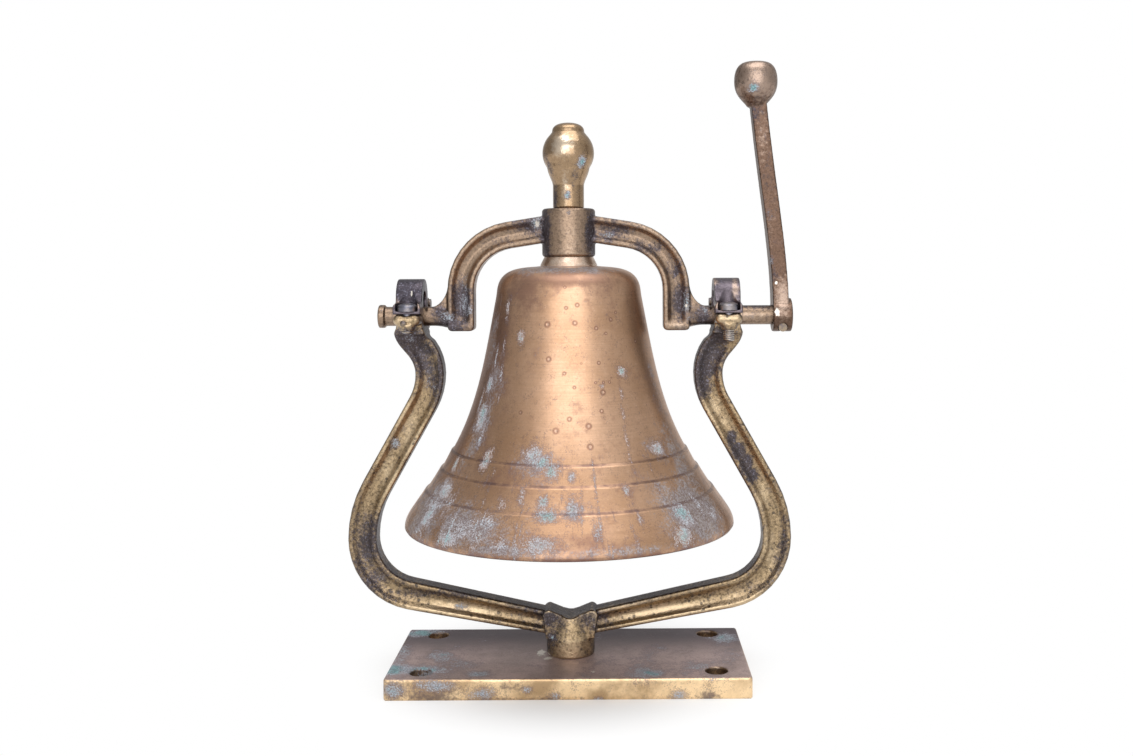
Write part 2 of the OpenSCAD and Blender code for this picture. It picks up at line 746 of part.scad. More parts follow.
// The trunnions swell into the legs, and the left one ends in a flange.
module trunnions() {
    swell = yoke_d / 2 - 0.2;
    right_end = lever_x + lever_hub_w / 2;
    left_end = bearing_x + bearing_w / 2 + left_stub;
    both_sides() translate([0, 0, axis_z]) rotate([0, 90, 0]) rotate_extrude() polygon([
        [0, root_start], [swell, root_start],
        each curve([swell, leg_face - 0.5], [swell - 0.6, leg_face + 3],
                   [trunnion_r, leg_face + 5], [trunnion_r, leg_face + 12], 8),
        [0, leg_face + 12]
    ]);
    translate([(root_start + right_end) / 2, 0, axis_z])
        along_x(trunnion_r, right_end - root_start);
    translate([-(root_start + left_end) / 2, 0, axis_z])
        along_x(trunnion_r, left_end - root_start);
    translate([flange_t / 2 - left_end, 0, axis_z]) along_x(flange_r, flange_t);
}

// Ringing lever: hub, tapering stem and knob, in one casting.
module ringing_lever() {
    color(bronze) difference() {
        union() {
            translate([lever_x, 0, axis_z]) along_x(lever_hub_r, lever_hub_w);
            intersection() {
                upright() translate([0, 0, -lever_hub_r - over])
                    linear_extrude(2 * (lever_hub_r + over)) stem_front();
                rotate([90, 0, 90]) linear_extrude(lever_x + lever_hub_w + over) stem_side();
            }
            lever_knob();
        }
        translate([lever_x, 0, axis_z]) along_x(trunnion_r + fit / 2, lever_hub_w + 2 * over);
        translate([lever_x, 0, axis_z - taper_pin_drop])
            along_y(taper_pin_r + fit / 2, 2 * (lever_hub_r + over));
    }
}

// The stem's centreline leans in towards the knob in a slight double bend.
function stem_line(side, half_low, half_high) = curve(
    [lever_x - stem_set + side * half_low, axis_z],
    [lever_x - stem_set - 0.02 * lever_lean + side * half_low, axis_z + lever_h * 0.3],
    [lever_x - 0.62 * lever_lean + side * half_high, axis_z + lever_h * 0.55],
    [lever_x - lever_lean + side * half_high, axis_z + lever_h], 20);

module stem_front() {
    left = stem_line(-1, stem_root_w / 2, stem_tip_w / 2);
    right = stem_line(1, stem_root_w / 2, stem_tip_w / 2);
    n = len(left) - 1;
    polygon(concat(right, [for (i = [0:n]) left[n - i]]));
}

module stem_side() {
    polygon([
        [-stem_root_d / 2, axis_z], [stem_root_d / 2, axis_z],
        [stem_tip_d / 2, axis_z + lever_h], [-stem_tip_d / 2, axis_z + lever_h]
    ]);
}

// Pear-shaped knob with a flattened top.
module lever_knob() {
    neck_r = stem_tip_w / 2;
    translate([lever_x - lever_lean, 0, axis_z + lever_h]) rotate_extrude() polygon([
        [0, -knob_neck], [neck_r, -knob_neck],
        each curve([neck_r + 0.5, -knob_neck], [neck_r + 3, -knob_neck * 0.75],
                   [knob_r, -knob_neck * 0.6], [knob_r, 0], 12),
        each curve([knob_r, 0.01], [knob_r, knob_top * 0.62], [knob_r * 0.8, knob_top],
                   [knob_r * 0.35, knob_top], 12),
        [0, knob_top]
    ]);
}

// Taper pin through the lever's hub, across the underside of the trunnion.
module lever_taper_pin() {
    l = 2 * lever_hub_r - 8;
    color(steel) translate([lever_x, 0, axis_z - taper_pin_drop]) difference() {
        along_y(taper_pin_r, l);
        translate([0, 0, taper_pin_drop]) along_x(trunnion_r + fit, lever_hub_w);
    }
}

// Outer profile of the bell, from the crown's centre down to the lip, over the mouth.
crown_edge_h = bell_h - crown_fall - shoulder_round;
function bell_outside() = concat(
    [[stud_r + stud_gap, bell_h], [collar_base_r, bell_h]],
    curve([collar_base_r + 4, bell_h - 0.4], [crown_r * 0.72, bell_h - 1.2],
          [crown_r - 3, bell_h - crown_fall + 2], [crown_r - 0.8, crown_edge_h], 14),
    curve([crown_r, crown_edge_h - 6], [crown_r + 8.5, crown_edge_h - 50],
          [band_r - 20, band_h + 36], [band_r, band_h], 20),
    flare(band_h, middle_band_h, 1),
    flare(middle_band_h, lower_band_h, 2),
    flare(lower_band_h, bow_h, 3),
    curve([bow_r + 0.3, bow_h - 0.5], [bow_r + 3.5, bow_h - 5], [mouth_r, bow_h * 0.4],
          [mouth_r, 1.5], 10),
    [[mouth_r - 1, 0]]
);

// Radius of the flaring skirt at a height over the mouth.
function skirt_r(h) =
    let (t = (band_h - h) / (band_h - bow_h))
    band_r + (bow_r - band_r) * (0.82 * t + 0.18 * t * t);

// One band of the skirt: a step out, then the skirt down to just above the next step.
function flare(high, low, step) =
    [for (i = [0:4]) let (h = high - 0.6 - (high - low - 0.6) * i / 4)
        [skirt_r(h) + band_step * (i == 0 ? 1 : 1 - i / 4), h]];

function bell_inside() = concat(
    [[mouth_r - lip_t, 0]],
    curve([mouth_r - lip_t - 0.5, 0.5], [mouth_r - lip_t - 6, bow_h * 0.5],
          [bow_r - bow_t, bow_h], [skirt_r(lower_band_h) - bow_t, lower_band_h], 8),
    curve([skirt_r(lower_band_h) - bow_t - 0.5, lower_band_h + 1],
          [band_r - waist_t - 5, band_h - 8],
          [crown_r - waist_t + 12, band_h + 60],
          [crown_r - waist_t, crown_edge_h - 10], 20),
    curve([crown_r - waist_t - 0.2, crown_edge_h - 8], [crown_r - waist_t - 2, bell_h - crown_t - 2],
          [crown_r * 0.6, bell_h - crown_t], [washer_r + 2, bell_h - crown_t], 8),
    [[stud_r + stud_gap, bell_h - crown_t]]
);

module bell() {
    color(bronze) translate([0, 0, mouth_z]) rotate_extrude()
        polygon(concat(bell_outside(), bell_inside()));
}

// Tapered collar between the yoke's hub and the bell's crown.
module crown_collar() {
    color(bronze) translate([0, 0, crown_z]) rotate_extrude() polygon([
        [stud_r + stud_gap, 0], [collar_base_r, 0],
        [collar_base_r, 1], [collar_top_r, collar_t], [stud_r + stud_gap, collar_t]
    ]);
}

// Stud from the acorn nut down through hub, collar and crown to the clapper's fork.
module crown_stud() {
    color(steel) cylinder_between(stud_r, fork_z + 2, hub_z + hub_t + acorn_bore_h - 1);
}

// Acorn nut on top of the hub: shank, ball and nub.
module acorn_nut() {
    ball_angle = acos(acorn_shank_r / acorn_ball_r);
    color(brass) translate([0, 0, hub_z + hub_t]) difference() {
        rotate_extrude() polygon([
            [0, 0], [acorn_shank_r - 1, 0], [acorn_shank_r, 1],
            each curve([acorn_shank_r, acorn_ball_h * 0.42],
                       [acorn_shank_r + 0.6, acorn_ball_h * 0.52],
                       [acorn_ball_r * 0.78, acorn_ball_h * 0.6],
                       [acorn_ball_r * cos(-35), acorn_ball_h - acorn_ball_r * sin(35)], 8),
            each arc([0, acorn_ball_h], acorn_ball_r, -25, 44, 14),
            each curve([acorn_nub_r + 1, acorn_h - 7.5], [acorn_nub_r + 1.2, acorn_h - 3],
                       [acorn_nub_r * 0.8, acorn_h - 0.3], [0, acorn_h], 10)
        ]);
        cylinder_between(stud_r + fit, -over, acorn_bore_h);
    }
}

module crown_washer() {
    color(steel) translate([0, 0, washer_z]) difference() {
        cylinder(r = washer_r, h = washer_t);
        cylinder_between(stud_r + fit, -over, washer_t + over);
    }
}

module crown_nut() {
    color(steel) translate([0, 0, nut_z]) difference() {
        hex(nut_af, nut_h);
        cylinder_between(stud_r + fit, -over, nut_h + over);
    }
}

// Fork head screwed on the stud's lower end, with two cheeks that hold the clapper pin.
module clapper_fork() {
    color(dark_brass) difference() {
        union() {
            cylinder_between(fork_r, pivot_z, fork_z + fork_head_h);
            translate([0, 0, pivot_z]) intersection() {
                along_x(fork_r * 0.72, 2 * fork_r);
                translate([0, 0, -fork_r]) cylinder(r = fork_r, h = 2 * fork_r);
            }
        }
        cylinder_between(stud_r + fit, fork_z + 1.9, fork_z + fork_head_h + over);
        translate([-fork_gap / 2, -fork_r - over, pivot_z - fork_r])
            cube([fork_gap, 2 * (fork_r + over), fork_z - pivot_z + fork_r]);
        translate([0, 0, pivot_z]) along_x(clapper_pin_r + fit / 2, 2 * fork_r + 2 * over);
        // The cheeks are flat outside, so that they take the pin's heads.
        for (s = [-1, 1])
            translate([s * (fork_r + fork_r * 0.8), 0, pivot_z])
                cube([2 * fork_r, 3 * fork_r, 2 * fork_drop - 4], center = true);
    }
}

module clapper_pin() {
    half = fork_r * 0.8;
    color(steel) translate([0, 0, pivot_z]) {
        along_x(clapper_pin_r, 2 * half + 2);
        for (s = [-1, 1])
            translate([s * (half + 1), 0, 0]) along_x(clapper_pin_r + 1.5, 2);
    }
}

// Clapper rod with its eye, which turns on the pin between the fork's cheeks.
module clapper_rod() {
    w = fork_gap - 2 * eye_side_play;
    color(dark_brass) translate([0, 0, pivot_z]) difference() {
        union() {
            along_x(eye_r, w);
            cylinder_between(rod_r, -clapper_l - ball_r - rod_tail, -eye_r + 2);
            translate([0, 0, -eye_r - 5]) cylinder(r1 = rod_r, r2 = w / 2, h = 8);
        }
        along_x(clapper_pin_r + clapper_play, w + 2 * over);
    }
}

module clapper_ball() {
    color(dark_brass) translate([0, 0, ball_z]) difference() {
        intersection() {
            sphere(ball_r);
            cube([3 * ball_r, 3 * ball_r, 2 * ball_r - 1], center = true);
        }
        cylinder_between(rod_r + fit, -ball_r - over, ball_r + over);
    }
}

module clapper_lock_nut() {
    color(steel) translate([0, 0, ball_z - ball_r + 0.5 - tip_nut_h]) difference() {
        hex(tip_nut_af, tip_nut_h);
        cylinder_between(rod_r + fit, -over, tip_nut_h + over);
    }
}

base_plate();
cradle();
foot_screw();
color(dark_brass) translate([-bearing_x, 0, axis_z]) bearing_cap();  // left_bearing_cap
color(dark_brass) translate([bearing_x, 0, axis_z]) bearing_cap();  // right_bearing_cap
hinge_pin(-1);  // left_hinge_pin
hinge_pin(1);  // right_hinge_pin
clamp_bolt(-1, clamp_tail_left);  // left_clamp_bolt
clamp_bolt(1, clamp_tail_right);  // right_clamp_bolt
yoke();
ringing_lever();
lever_taper_pin();
bell();
crown_collar();
crown_stud();
acorn_nut();
crown_washer();
crown_nut();
clapper_fork();
clapper_pin();
clapper_rod();
clapper_ball();
clapper_lock_nut();
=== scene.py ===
# %% [markdown]
# A locomotive bell of bronze hangs from a yoke between the two arms of a brass cradle.
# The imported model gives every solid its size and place. This script gives the metal its looks:
# castings with soft corners and rough skin, a bell turned smooth, threads, wear and verdigris.
# The model's frame is used as it is, in metres, so no piece is ever shifted into place.

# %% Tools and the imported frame
import math

import bmesh
import bpy
import numpy as np
from mathutils import Matrix, Vector


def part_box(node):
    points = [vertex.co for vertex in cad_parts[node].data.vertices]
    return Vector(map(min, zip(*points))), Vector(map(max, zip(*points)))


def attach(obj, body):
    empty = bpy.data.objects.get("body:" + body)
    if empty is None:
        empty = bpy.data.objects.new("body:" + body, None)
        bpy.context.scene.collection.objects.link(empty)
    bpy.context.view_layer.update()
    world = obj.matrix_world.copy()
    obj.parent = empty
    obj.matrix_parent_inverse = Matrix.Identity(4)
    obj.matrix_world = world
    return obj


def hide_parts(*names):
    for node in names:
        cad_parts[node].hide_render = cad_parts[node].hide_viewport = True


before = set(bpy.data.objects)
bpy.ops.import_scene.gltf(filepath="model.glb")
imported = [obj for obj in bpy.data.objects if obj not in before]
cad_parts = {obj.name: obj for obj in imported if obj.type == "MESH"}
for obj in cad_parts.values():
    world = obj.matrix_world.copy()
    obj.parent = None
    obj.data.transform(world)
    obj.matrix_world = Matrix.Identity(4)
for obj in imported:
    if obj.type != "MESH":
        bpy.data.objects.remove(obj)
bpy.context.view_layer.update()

MM = 0.001

# %% [markdown]
# The photograph was taken from about a metre away, a little to the right of the bell and at
# the height of the yoke, with the camera almost level. A level camera keeps the arms upright.
# To look down at the plate all the same, the picture is cut from the lower part of the lens's
# view, which is what a small lens shift does.

# %% Camera
def new_object(name, data):
    """An object that holds the data, linked to the scene."""
    placed = bpy.data.objects.new(name, data)
    bpy.context.scene.collection.objects.link(placed)
    return placed


camera_place = (0.0337, -0.9177, 0.3180)
look_down, look_right, lean = math.radians(1.08), math.radians(0.29), math.radians(-0.25)
camera_data = bpy.data.cameras.new("photo_camera")
camera_data.sensor_width = 36.0
camera_data.lens = 37.5
camera_data.shift_x = -0.0457
camera_data.shift_y = -0.08
camera = new_object("photo_camera", camera_data)
camera.matrix_world = (
    Matrix.Translation(camera_place)
    @ Matrix.Rotation(-look_right, 4, "Z")
    @ Matrix.Rotation(math.pi / 2 - look_down, 4, "X")
    @ Matrix.Rotation(lean, 4, "Z")
)
bpy.context.scene.camera = camera
print("camera height in mm:", round(camera_place[2] / MM))

# %% [markdown]
# Round satin metal shows its whole surroundings, so the room matters as much as the lamps.
# The walls are grey, and lighter on the right than on the left. A window stands behind the
# camera, pale paper behind the object, and the ceiling is light. The paper gives the bell its
# pale rims, the walls its darker flanks, the window and the lamp its bright middle. The camera
# itself sees only white.

# %% Node helpers
# A socket's id_data is the node tree that it is in, so a helper that is given one needs no tree.
def add_node(tree, kind, **settings):
    """Adds a node, sets its properties, and returns it."""
    node = tree.nodes.new(kind)
    for name, value in settings.items():
        setattr(node, name, value)
    return node


def connect(socket, source):
    """Links an input to an output, or writes a plain value there. A colour is three numbers."""
    if isinstance(source, bpy.types.NodeSocket):
        socket.id_data.links.new(source, socket)
    elif socket.type == "RGBA":
        socket.default_value = (*source, 1)
    else:
        socket.default_value = source


def feed(node, **sources):
    """Sets inputs by name, with _ for a space, and returns the node."""
    for name, source in sources.items():
        connect(node.inputs[name.replace("_", " ")], source)
    return node


def made(tree, kind, **sources):
    """Adds a node, sets its inputs by name, and returns its outputs."""
    return feed(add_node(tree, kind), **sources).outputs


def math_node(operation, first, second=0.5, clamp=False):
    """One step of arithmetic, and its result."""
    node = add_node(first.id_data, "ShaderNodeMath", operation=operation, use_clamp=clamp)
    connect(node.inputs[0], first)
    connect(node.inputs[1], second)
    return node.outputs[0]


def times(first, second):
    """The product of two values."""
    return math_node("MULTIPLY", first, second)


def total(start, *parts):
    """A start value plus each (value, weight) pair."""
    for value, weight in parts:
        start = math_node("ADD", times(value, weight), start)
    return start


def vector_node(operation, *sources):
    """One step of vector arithmetic, and its outputs, Vector and Value."""
    node = add_node(sources[0].id_data, "ShaderNodeVectorMath", operation=operation)
    for socket, source in zip(node.inputs, sources):
        connect(socket, source)
    return node.outputs


def axes(vector):
    """The X, Y and Z of a vector, by name."""
    return made(vector.id_data, "ShaderNodeSeparateXYZ", Vector=vector)


def ramp(value, low, high, to_low=0.0, to_high=1.0):
    """Turns the range low..high of a value into to_low..to_high, with soft ends."""
    node = add_node(value.id_data, "ShaderNodeMapRange", interpolation_type="SMOOTHSTEP")
    feed(node, Value=value, From_Min=low, From_Max=high, To_Min=to_low, To_Max=to_high)
    return node.outputs[0]


def blend_colours(amount, under, over):
    """Lays one colour over another by an amount from 0 to 1."""
    node = add_node(amount.id_data, "ShaderNodeMix", data_type="RGBA")
    for number, source in ((0, amount), (6, under), (7, over)):
        connect(node.inputs[number], source)
    return node.outputs[2]


def shades(value, low, high, under, over):
    """Goes from one colour to another as a value goes from low to high."""
    return blend_colours(ramp(value, low, high), under, over)


def dress(piece, metal):
    """Gives a piece one material, in place of those it has."""
    piece.data.materials.clear()
    piece.data.materials.append(metal)
    print(piece.name, "is", metal.name)


def empty_material(name):
    """A material without nodes, new or already on a piece, and its node tree."""
    material = bpy.data.materials.get(name) or bpy.data.materials.new(name)
    material.use_nodes = True
    material.node_tree.nodes.clear()
    return material, material.node_tree


# %% The room round the object
def seen_directly(tree):
    """1 for the rays that show the background: to the camera, in a reflection, through glass."""
    path = made(tree, "ShaderNodeLightPath")
    straight_or_mirrored = math_node("MAXIMUM", path["Is Camera Ray"], path["Is Glossy Ray"])
    return math_node("MAXIMUM", straight_or_mirrored, path["Is Transmission Ray"])


world = bpy.data.worlds.new("studio")
world.use_nodes = True
bpy.context.scene.world = world
room = world.node_tree
room.nodes.clear()
towards = axes(made(room, "ShaderNodeTexCoord")["Generated"])
camera_ray = made(room, "ShaderNodeLightPath")["Is Camera Ray"]
walls = ramp(towards["X"], -0.6, 0.9, 0.38, 0.56)
window = ramp(towards["Y"], -0.1, -0.9, 0.0, 0.40)
paper = ramp(towards["Y"], 0.75, 1.0, 0.0, 0.25)
ceiling = ramp(towards["Z"], 0.5, 1.0, 0.0, 0.35)
grey_room = total(walls, (window, 1.0), (paper, 1.0), (ceiling, 1.0))
in_reflections = math_node("MAXIMUM", grey_room, camera_ray)
strength = blend_colours(seen_directly(room), (1, 1, 1), in_reflections)
background = made(room, "ShaderNodeBackground", Color=(1, 1, 1), Strength=strength)
made(room, "ShaderNodeOutputWorld", Surface=background[0])
print("room:", len(room.nodes), "nodes")

# %% Lamps
def soft_lamp(name, place, aim, width, height, watts):
    """A soft box: a rectangle of light that faces a point, and that the camera doesn't see."""
    lamp_data = bpy.data.lights.new(name, "AREA")
    lamp_data.shape = "RECTANGLE"
    lamp_data.size, lamp_data.size_y = width, height
    lamp_data.energy = watts
    lamp = new_object(name, lamp_data)
    lamp.location = place
    lamp.rotation_euler = (Vector(aim) - Vector(place)).to_track_quat("-Z", "Y").to_euler()
    lamp.visible_camera = False


bell_middle = (0, 0, 0.25)
soft_lamp("front_lamp", (0.03, -1.7, 0.75), bell_middle, width=1.7, height=1.3, watts=12)
soft_lamp("top_lamp", (0.1, -0.3, 1.6), bell_middle, width=1.3, height=1.0, watts=9)
print("lamps:", [light.name for light in bpy.data.lights])

# %% [markdown]
# The floor is pale paper. Close to the object it is lit like any paper and so holds the
# object's shadow. Further out it turns into the same white as the background, so the paper
# has no visible edge from any side.

# %% Floor
floor_finish, sheet = empty_material("floor_paper")
spread = vector_node("LENGTH", made(sheet, "ShaderNodeTexCoord")["Object"])
far_out = ramp(spread["Value"], 0.03, 0.22)
lit_paper = made(sheet, "ShaderNodeBsdfDiffuse", Color=(0.93, 0.93, 0.93))
white = made(sheet, "ShaderNodeEmission", Color=(1, 1, 1), Strength=1.0)
floor_mix = add_node(sheet, "ShaderNodeMixShader")
whiteness = times(far_out, seen_directly(sheet))
for socket, source in zip(floor_mix.inputs, (whiteness, lit_paper[0], white[0])):
    connect(socket, source)
made(sheet, "ShaderNodeOutputMaterial", Surface=floor_mix.outputs[0])

floor_mesh = bpy.data.meshes.new("floor")
floor_mesh.from_pydata([(-6, -6, 0), (6, -6, 0), (6, 6, 0), (-6, 6, 0)], [], [(0, 1, 2, 3)])
floor = new_object("floor", floor_mesh)
dress(floor, floor_finish)

# %% [markdown]
# The cradle, yoke, caps and lever were cast in sand. Their patterns had no sharp edge, and the
# sand rounded every inner corner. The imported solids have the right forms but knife-sharp edges.
# A bevel would have to find every edge of them, and it fails where many small faces meet.
# So each solid is filled with small cells, its skin is drawn again over the cells, and then
# smoothed a little, as fettling and years of rubbing smooth the real thing.

# %% Castings: soft corners
def merged_copy(node, name):
    """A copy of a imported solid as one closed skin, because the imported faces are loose."""
    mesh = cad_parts[node].data.copy()
    mesh.name = name
    mesh.materials.clear()
    skin = bmesh.new()
    skin.from_mesh(mesh)
    bmesh.ops.remove_doubles(skin, verts=skin.verts, dist=0.5e-6)
    skin.to_mesh(mesh)
    skin.free()
    return new_object(name, mesh)


def bake_modifiers(piece):
    """Makes the modified shape the piece's own mesh and takes the modifiers off."""
    shape = piece.evaluated_get(bpy.context.evaluated_depsgraph_get())
    mesh = bpy.data.meshes.new_from_object(shape)
    piece.modifiers.clear()
    piece.data = mesh
    return mesh


def cast_in_sand(node, name, cell, rubs, share=1.0):
    """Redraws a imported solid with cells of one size, smooths it, and thins its faces."""
    piece = merged_copy(node, name)
    cells = piece.modifiers.new("cells", "REMESH")
    cells.mode = "VOXEL"
    cells.voxel_size = cell
    rubbing = piece.modifiers.new("rubbing", "SMOOTH")
    rubbing.factor = 0.5
    rubbing.iterations = rubs
    if share < 1.0:
        thinning = piece.modifiers.new("thinning", "DECIMATE")
        thinning.ratio = share
    mesh = bake_modifiers(piece)
    mesh.shade_smooth()
    triangles = sum(len(face.vertices) - 2 for face in mesh.polygons)
    print(f"{name}: {triangles} triangles")
    return piece


cradle_casting = cast_in_sand("cradle", "cradle_casting", cell=0.75 * MM, rubs=4, share=0.6)
yoke_casting = cast_in_sand("yoke", "yoke_casting", cell=0.65 * MM, rubs=4, share=0.85)
left_cap_casting = cast_in_sand("left_bearing_cap", "left_cap_casting", cell=0.5 * MM, rubs=5)
right_cap_casting = cast_in_sand("right_bearing_cap", "right_cap_casting", cell=0.5 * MM, rubs=5)
lever_casting = cast_in_sand("ringing_lever", "lever_casting", cell=0.6 * MM, rubs=8)
acorn_casting = cast_in_sand("acorn_nut", "acorn_casting", cell=0.5 * MM, rubs=3)
plate_casting = cast_in_sand("base_plate", "plate_casting", cell=1.1 * MM, rubs=2)

# %% [markdown]
# Wear follows form. Rims and corners are rubbed bright. Flutes and inner corners are darkened
# a little less than the rest, which is painted light, and faces that turn sideways are darkened
# more: painted shade.
# A texture can't know which is which, but the shape does. Each point is compared with the
# average of its neighbours: a point on a rim stands out from it, one in a flute lies below it.
# A narrow average finds the edges and a wide one the hollows. On a slim piece the narrow one
# has to be narrower still, or it would reach across the whole piece.

# %% Edges and hollows, measured
def vectors_of(mesh, name):
    """The co or normal of every point of a mesh, one in each row."""
    values = np.empty(len(mesh.vertices) * 3)
    mesh.vertices.foreach_get(name, values)
    return values.reshape(-1, 3)


def averaged(values, links, counts, rounds):
    """Spreads values over a mesh by averaging each point with its neighbours."""
    first, second = links.T
    for _ in range(rounds):
        sums = np.empty_like(values)
        for axis, column in enumerate(values.T):
            sums[:, axis] = (np.bincount(first, column[second], len(values))
                             + np.bincount(second, column[first], len(values)))
        values = 0.5 * values + 0.5 * sums / counts[:, None]
    return values


def measure_relief(piece, narrow=14, wide=220):
    """Stores edge and hollow in mm, and side: 0 on faces to the front or back, 1 across them."""
    mesh = piece.data
    points = vectors_of(mesh, "co") / MM
    outward = vectors_of(mesh, "normal")
    links = np.empty(len(mesh.edges) * 2, dtype=np.int64)
    mesh.edges.foreach_get("vertices", links)
    links = links.reshape(-1, 2)
    counts = np.bincount(links.ravel(), minlength=len(points)).clip(1)
    close_by = averaged(points, links, counts, narrow)
    further = averaged(close_by, links, counts, wide)
    edge = ((points - close_by) * outward).sum(axis=1)
    hollow = ((further - points) * outward).sum(axis=1)
    # side is 1 on faces that turn sideways, and the castings are darkened there: painted shade.
    side = 1 - np.abs(outward[:, 1])
    for name, values in (("edge", edge), ("hollow", hollow), ("side", side)):
        field = mesh.attributes.new(name, "FLOAT", "POINT")
        field.data.foreach_set("value", values.astype(np.float32))
    print(f"{piece.name}: edge {edge.min():.2f}..{edge.max():.2f},",
          f"hollow {hollow.min():.2f}..{hollow.max():.2f} mm")


for casting in (cradle_casting, yoke_casting, left_cap_casting, right_cap_casting, plate_casting):
    measure_relief(casting)
for slim_casting in (lever_casting, acorn_casting):
    measure_relief(slim_casting, narrow=3)

# %% [markdown]
# The bell is a solid of revolution: the founder swept its mould with a board cut to the
# profile, and the casting was then turned on a lathe. The node tree below does the same.
# It takes the profile as a chain of points, copies it round the axis, and welds the seam.
# A screw modifier would do it too, but the tree also gives the steps and the finish named
# inputs, so that the same lathe also turns the rivet further down.

# %% Bell profile
mouth_r, bell_h, crown_r, crown_fall, shoulder_round = 127, 199.5, 56.3, 5, 12.5
bow_h, bow_r, band_h, band_r = 17, 119.6, 59, 90
middle_band_h, lower_band_h, band_step = 45.5, 29, 1.1
waist_t, crown_t, bow_t, lip_t = 8.5, 10, 15, 7
stud_hole_r, washer_r, collar_base_r = 9.3, 20, 22
crown_edge_h = bell_h - crown_fall - shoulder_round
mouth_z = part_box("bell")[0].z / MM


def curve(a, b, c, d, steps=16):
    """Points on a curve from a to d that leaves towards b and arrives from c."""
    a, b, c, d = (np.array(point, float) for point in (a, b, c, d))
    return [
        (1 - t) ** 3 * a + 3 * (1 - t) ** 2 * t * b + 3 * (1 - t) * t * t * c + t**3 * d
        for t in np.linspace(0, 1, steps + 1)
    ]


def skirt_r(h):
    """Radius of the flaring skirt at a height over the mouth."""
    t = (band_h - h) / (band_h - bow_h)
    return band_r + (bow_r - band_r) * (0.82 * t + 0.18 * t * t)


def band(high, low, slope=0.6):
    """One band of the skirt: out by a step within a short slope, then down to the next band."""
    heights = [high - slope - (high - low - slope) * i / 4 for i in range(5)]
    return [(skirt_r(h) + band_step * (1 - i / 4), h) for i, h in enumerate(heights)]


outside = (
    [(stud_hole_r, bell_h), (collar_base_r, bell_h)]
    + curve((collar_base_r + 4, bell_h - 0.4), (crown_r * 0.72, bell_h - 1.2),
            (crown_r - 3, bell_h - crown_fall + 2), (crown_r - 0.8, crown_edge_h), 24)
    + curve((crown_r, crown_edge_h - 6), (crown_r + 8.5, crown_edge_h - 50),
            (band_r - 20, band_h + 36), (band_r, band_h), 60)
    + band(band_h, middle_band_h)
    + band(middle_band_h, lower_band_h)
    + band(lower_band_h, bow_h)
    + curve((bow_r + 0.3, bow_h - 0.5), (bow_r + 3.5, bow_h - 5),
            (mouth_r, bow_h * 0.4), (mouth_r, 1.5), 16)
    + [(mouth_r - 1, 0)]
)
inner_skirt_r = skirt_r(lower_band_h) - bow_t
inner_crown_r, inner_crown_h = crown_r - waist_t, bell_h - crown_t
inside = (
    [(mouth_r - lip_t, 0)]
    + curve((mouth_r - lip_t - 0.5, 0.5), (mouth_r - lip_t - 6, bow_h * 0.5),
            (bow_r - bow_t, bow_h), (inner_skirt_r, lower_band_h), 8)
    + curve((inner_skirt_r - 0.5, lower_band_h + 1), (band_r - waist_t - 5, band_h - 8),
            (inner_crown_r + 12, band_h + 60), (inner_crown_r, crown_edge_h - 10), 20)
    + curve((inner_crown_r - 0.2, crown_edge_h - 8), (inner_crown_r - 2, inner_crown_h - 2),
            (crown_r * 0.6, inner_crown_h), (washer_r + 2, inner_crown_h), 8)
    + [(stud_hole_r, inner_crown_h)]
)


def closely_spaced(chain, step):
    """The same chain with points added, so that no two neighbours are further apart than step."""
    spaced = []
    for start, end in zip(chain, chain[1:]):
        start, end = np.array(start, float), np.array(end, float)
        count = max(1, math.ceil(np.linalg.norm(end - start) / step))
        spaced += [start + (end - start) * i / count for i in range(count)]
    return spaced + [np.array(chain[-1], float)]


bell_profile = [(r, h + mouth_z) for r, h in closely_spaced(outside + inside + outside[:1], 2.0)]
print("bell profile:", len(bell_profile), "points")

# %% Lathe made of nodes
def start_tree(name, inputs):
    """Geometry Nodes with inputs (name, kind) and one solid as the result."""
    tree = bpy.data.node_groups.new(name, "GeometryNodeTree")
    for label, kind in inputs:
        tree.interface.new_socket(label, in_out="INPUT", socket_type="NodeSocket" + kind)
    tree.interface.new_socket("Solid", in_out="OUTPUT", socket_type="NodeSocketGeometry")
    print(f"{name} inputs:", [label for label, kind in inputs])
    return tree, made(tree, "NodeGroupInput")


def end_tree(tree, shape, metal):
    """Makes the shape real, gives it its material and hands it out."""
    real = made(tree, "GeometryNodeRealizeInstances", Geometry=shape)[0]
    finished = made(tree, "GeometryNodeSetMaterial", Geometry=real, Material=metal)[0]
    made(tree, "NodeGroupOutput", Solid=finished)
    return tree


def lathe_tree():
    """Geometry Nodes that turn a chain of profile points, in X and Z, round the Z axis."""
    tree, given = start_tree(
        "lathe", [("Profile", "Geometry"), ("Steps Around", "Int"), ("Finish", "Material")])
    size = made(tree, "GeometryNodeAttributeDomainSize", Geometry=given["Profile"])
    count = size["Point Count"]
    grid = made(tree, "GeometryNodeMeshGrid", Size_X=1.0, Size_Y=1.0, Vertices_X=count,
                Vertices_Y=math_node("ADD", given["Steps Around"], 1))
    position = made(tree, "GeometryNodeInputPosition")[0]
    at = axes(position)
    last = math_node("SUBTRACT", count, 1)
    along = times(math_node("ADD", at["X"], 0.5), last)
    point = add_node(tree, "GeometryNodeSampleIndex", data_type="FLOAT_VECTOR")
    feed(point, Geometry=given["Profile"], Value=position, Index=math_node("ROUND", along))
    drawn = axes(point.outputs["Value"])
    turn = times(math_node("ADD", at["Y"], 0.5), math.tau)
    place = made(tree, "ShaderNodeCombineXYZ", Z=drawn["Z"],
                 X=times(drawn["X"], math_node("COSINE", turn)),
                 Y=times(drawn["X"], math_node("SINE", turn)))
    turned = made(tree, "GeometryNodeSetPosition", Geometry=grid["Mesh"], Position=place[0])
    welded = made(tree, "GeometryNodeMergeByDistance", Geometry=turned[0], Distance=0.5e-6)
    smooth = made(tree, "GeometryNodeSetShadeSmooth", Geometry=welded[0])
    return end_tree(tree, smooth[0], given["Finish"])


lathe = lathe_tree()

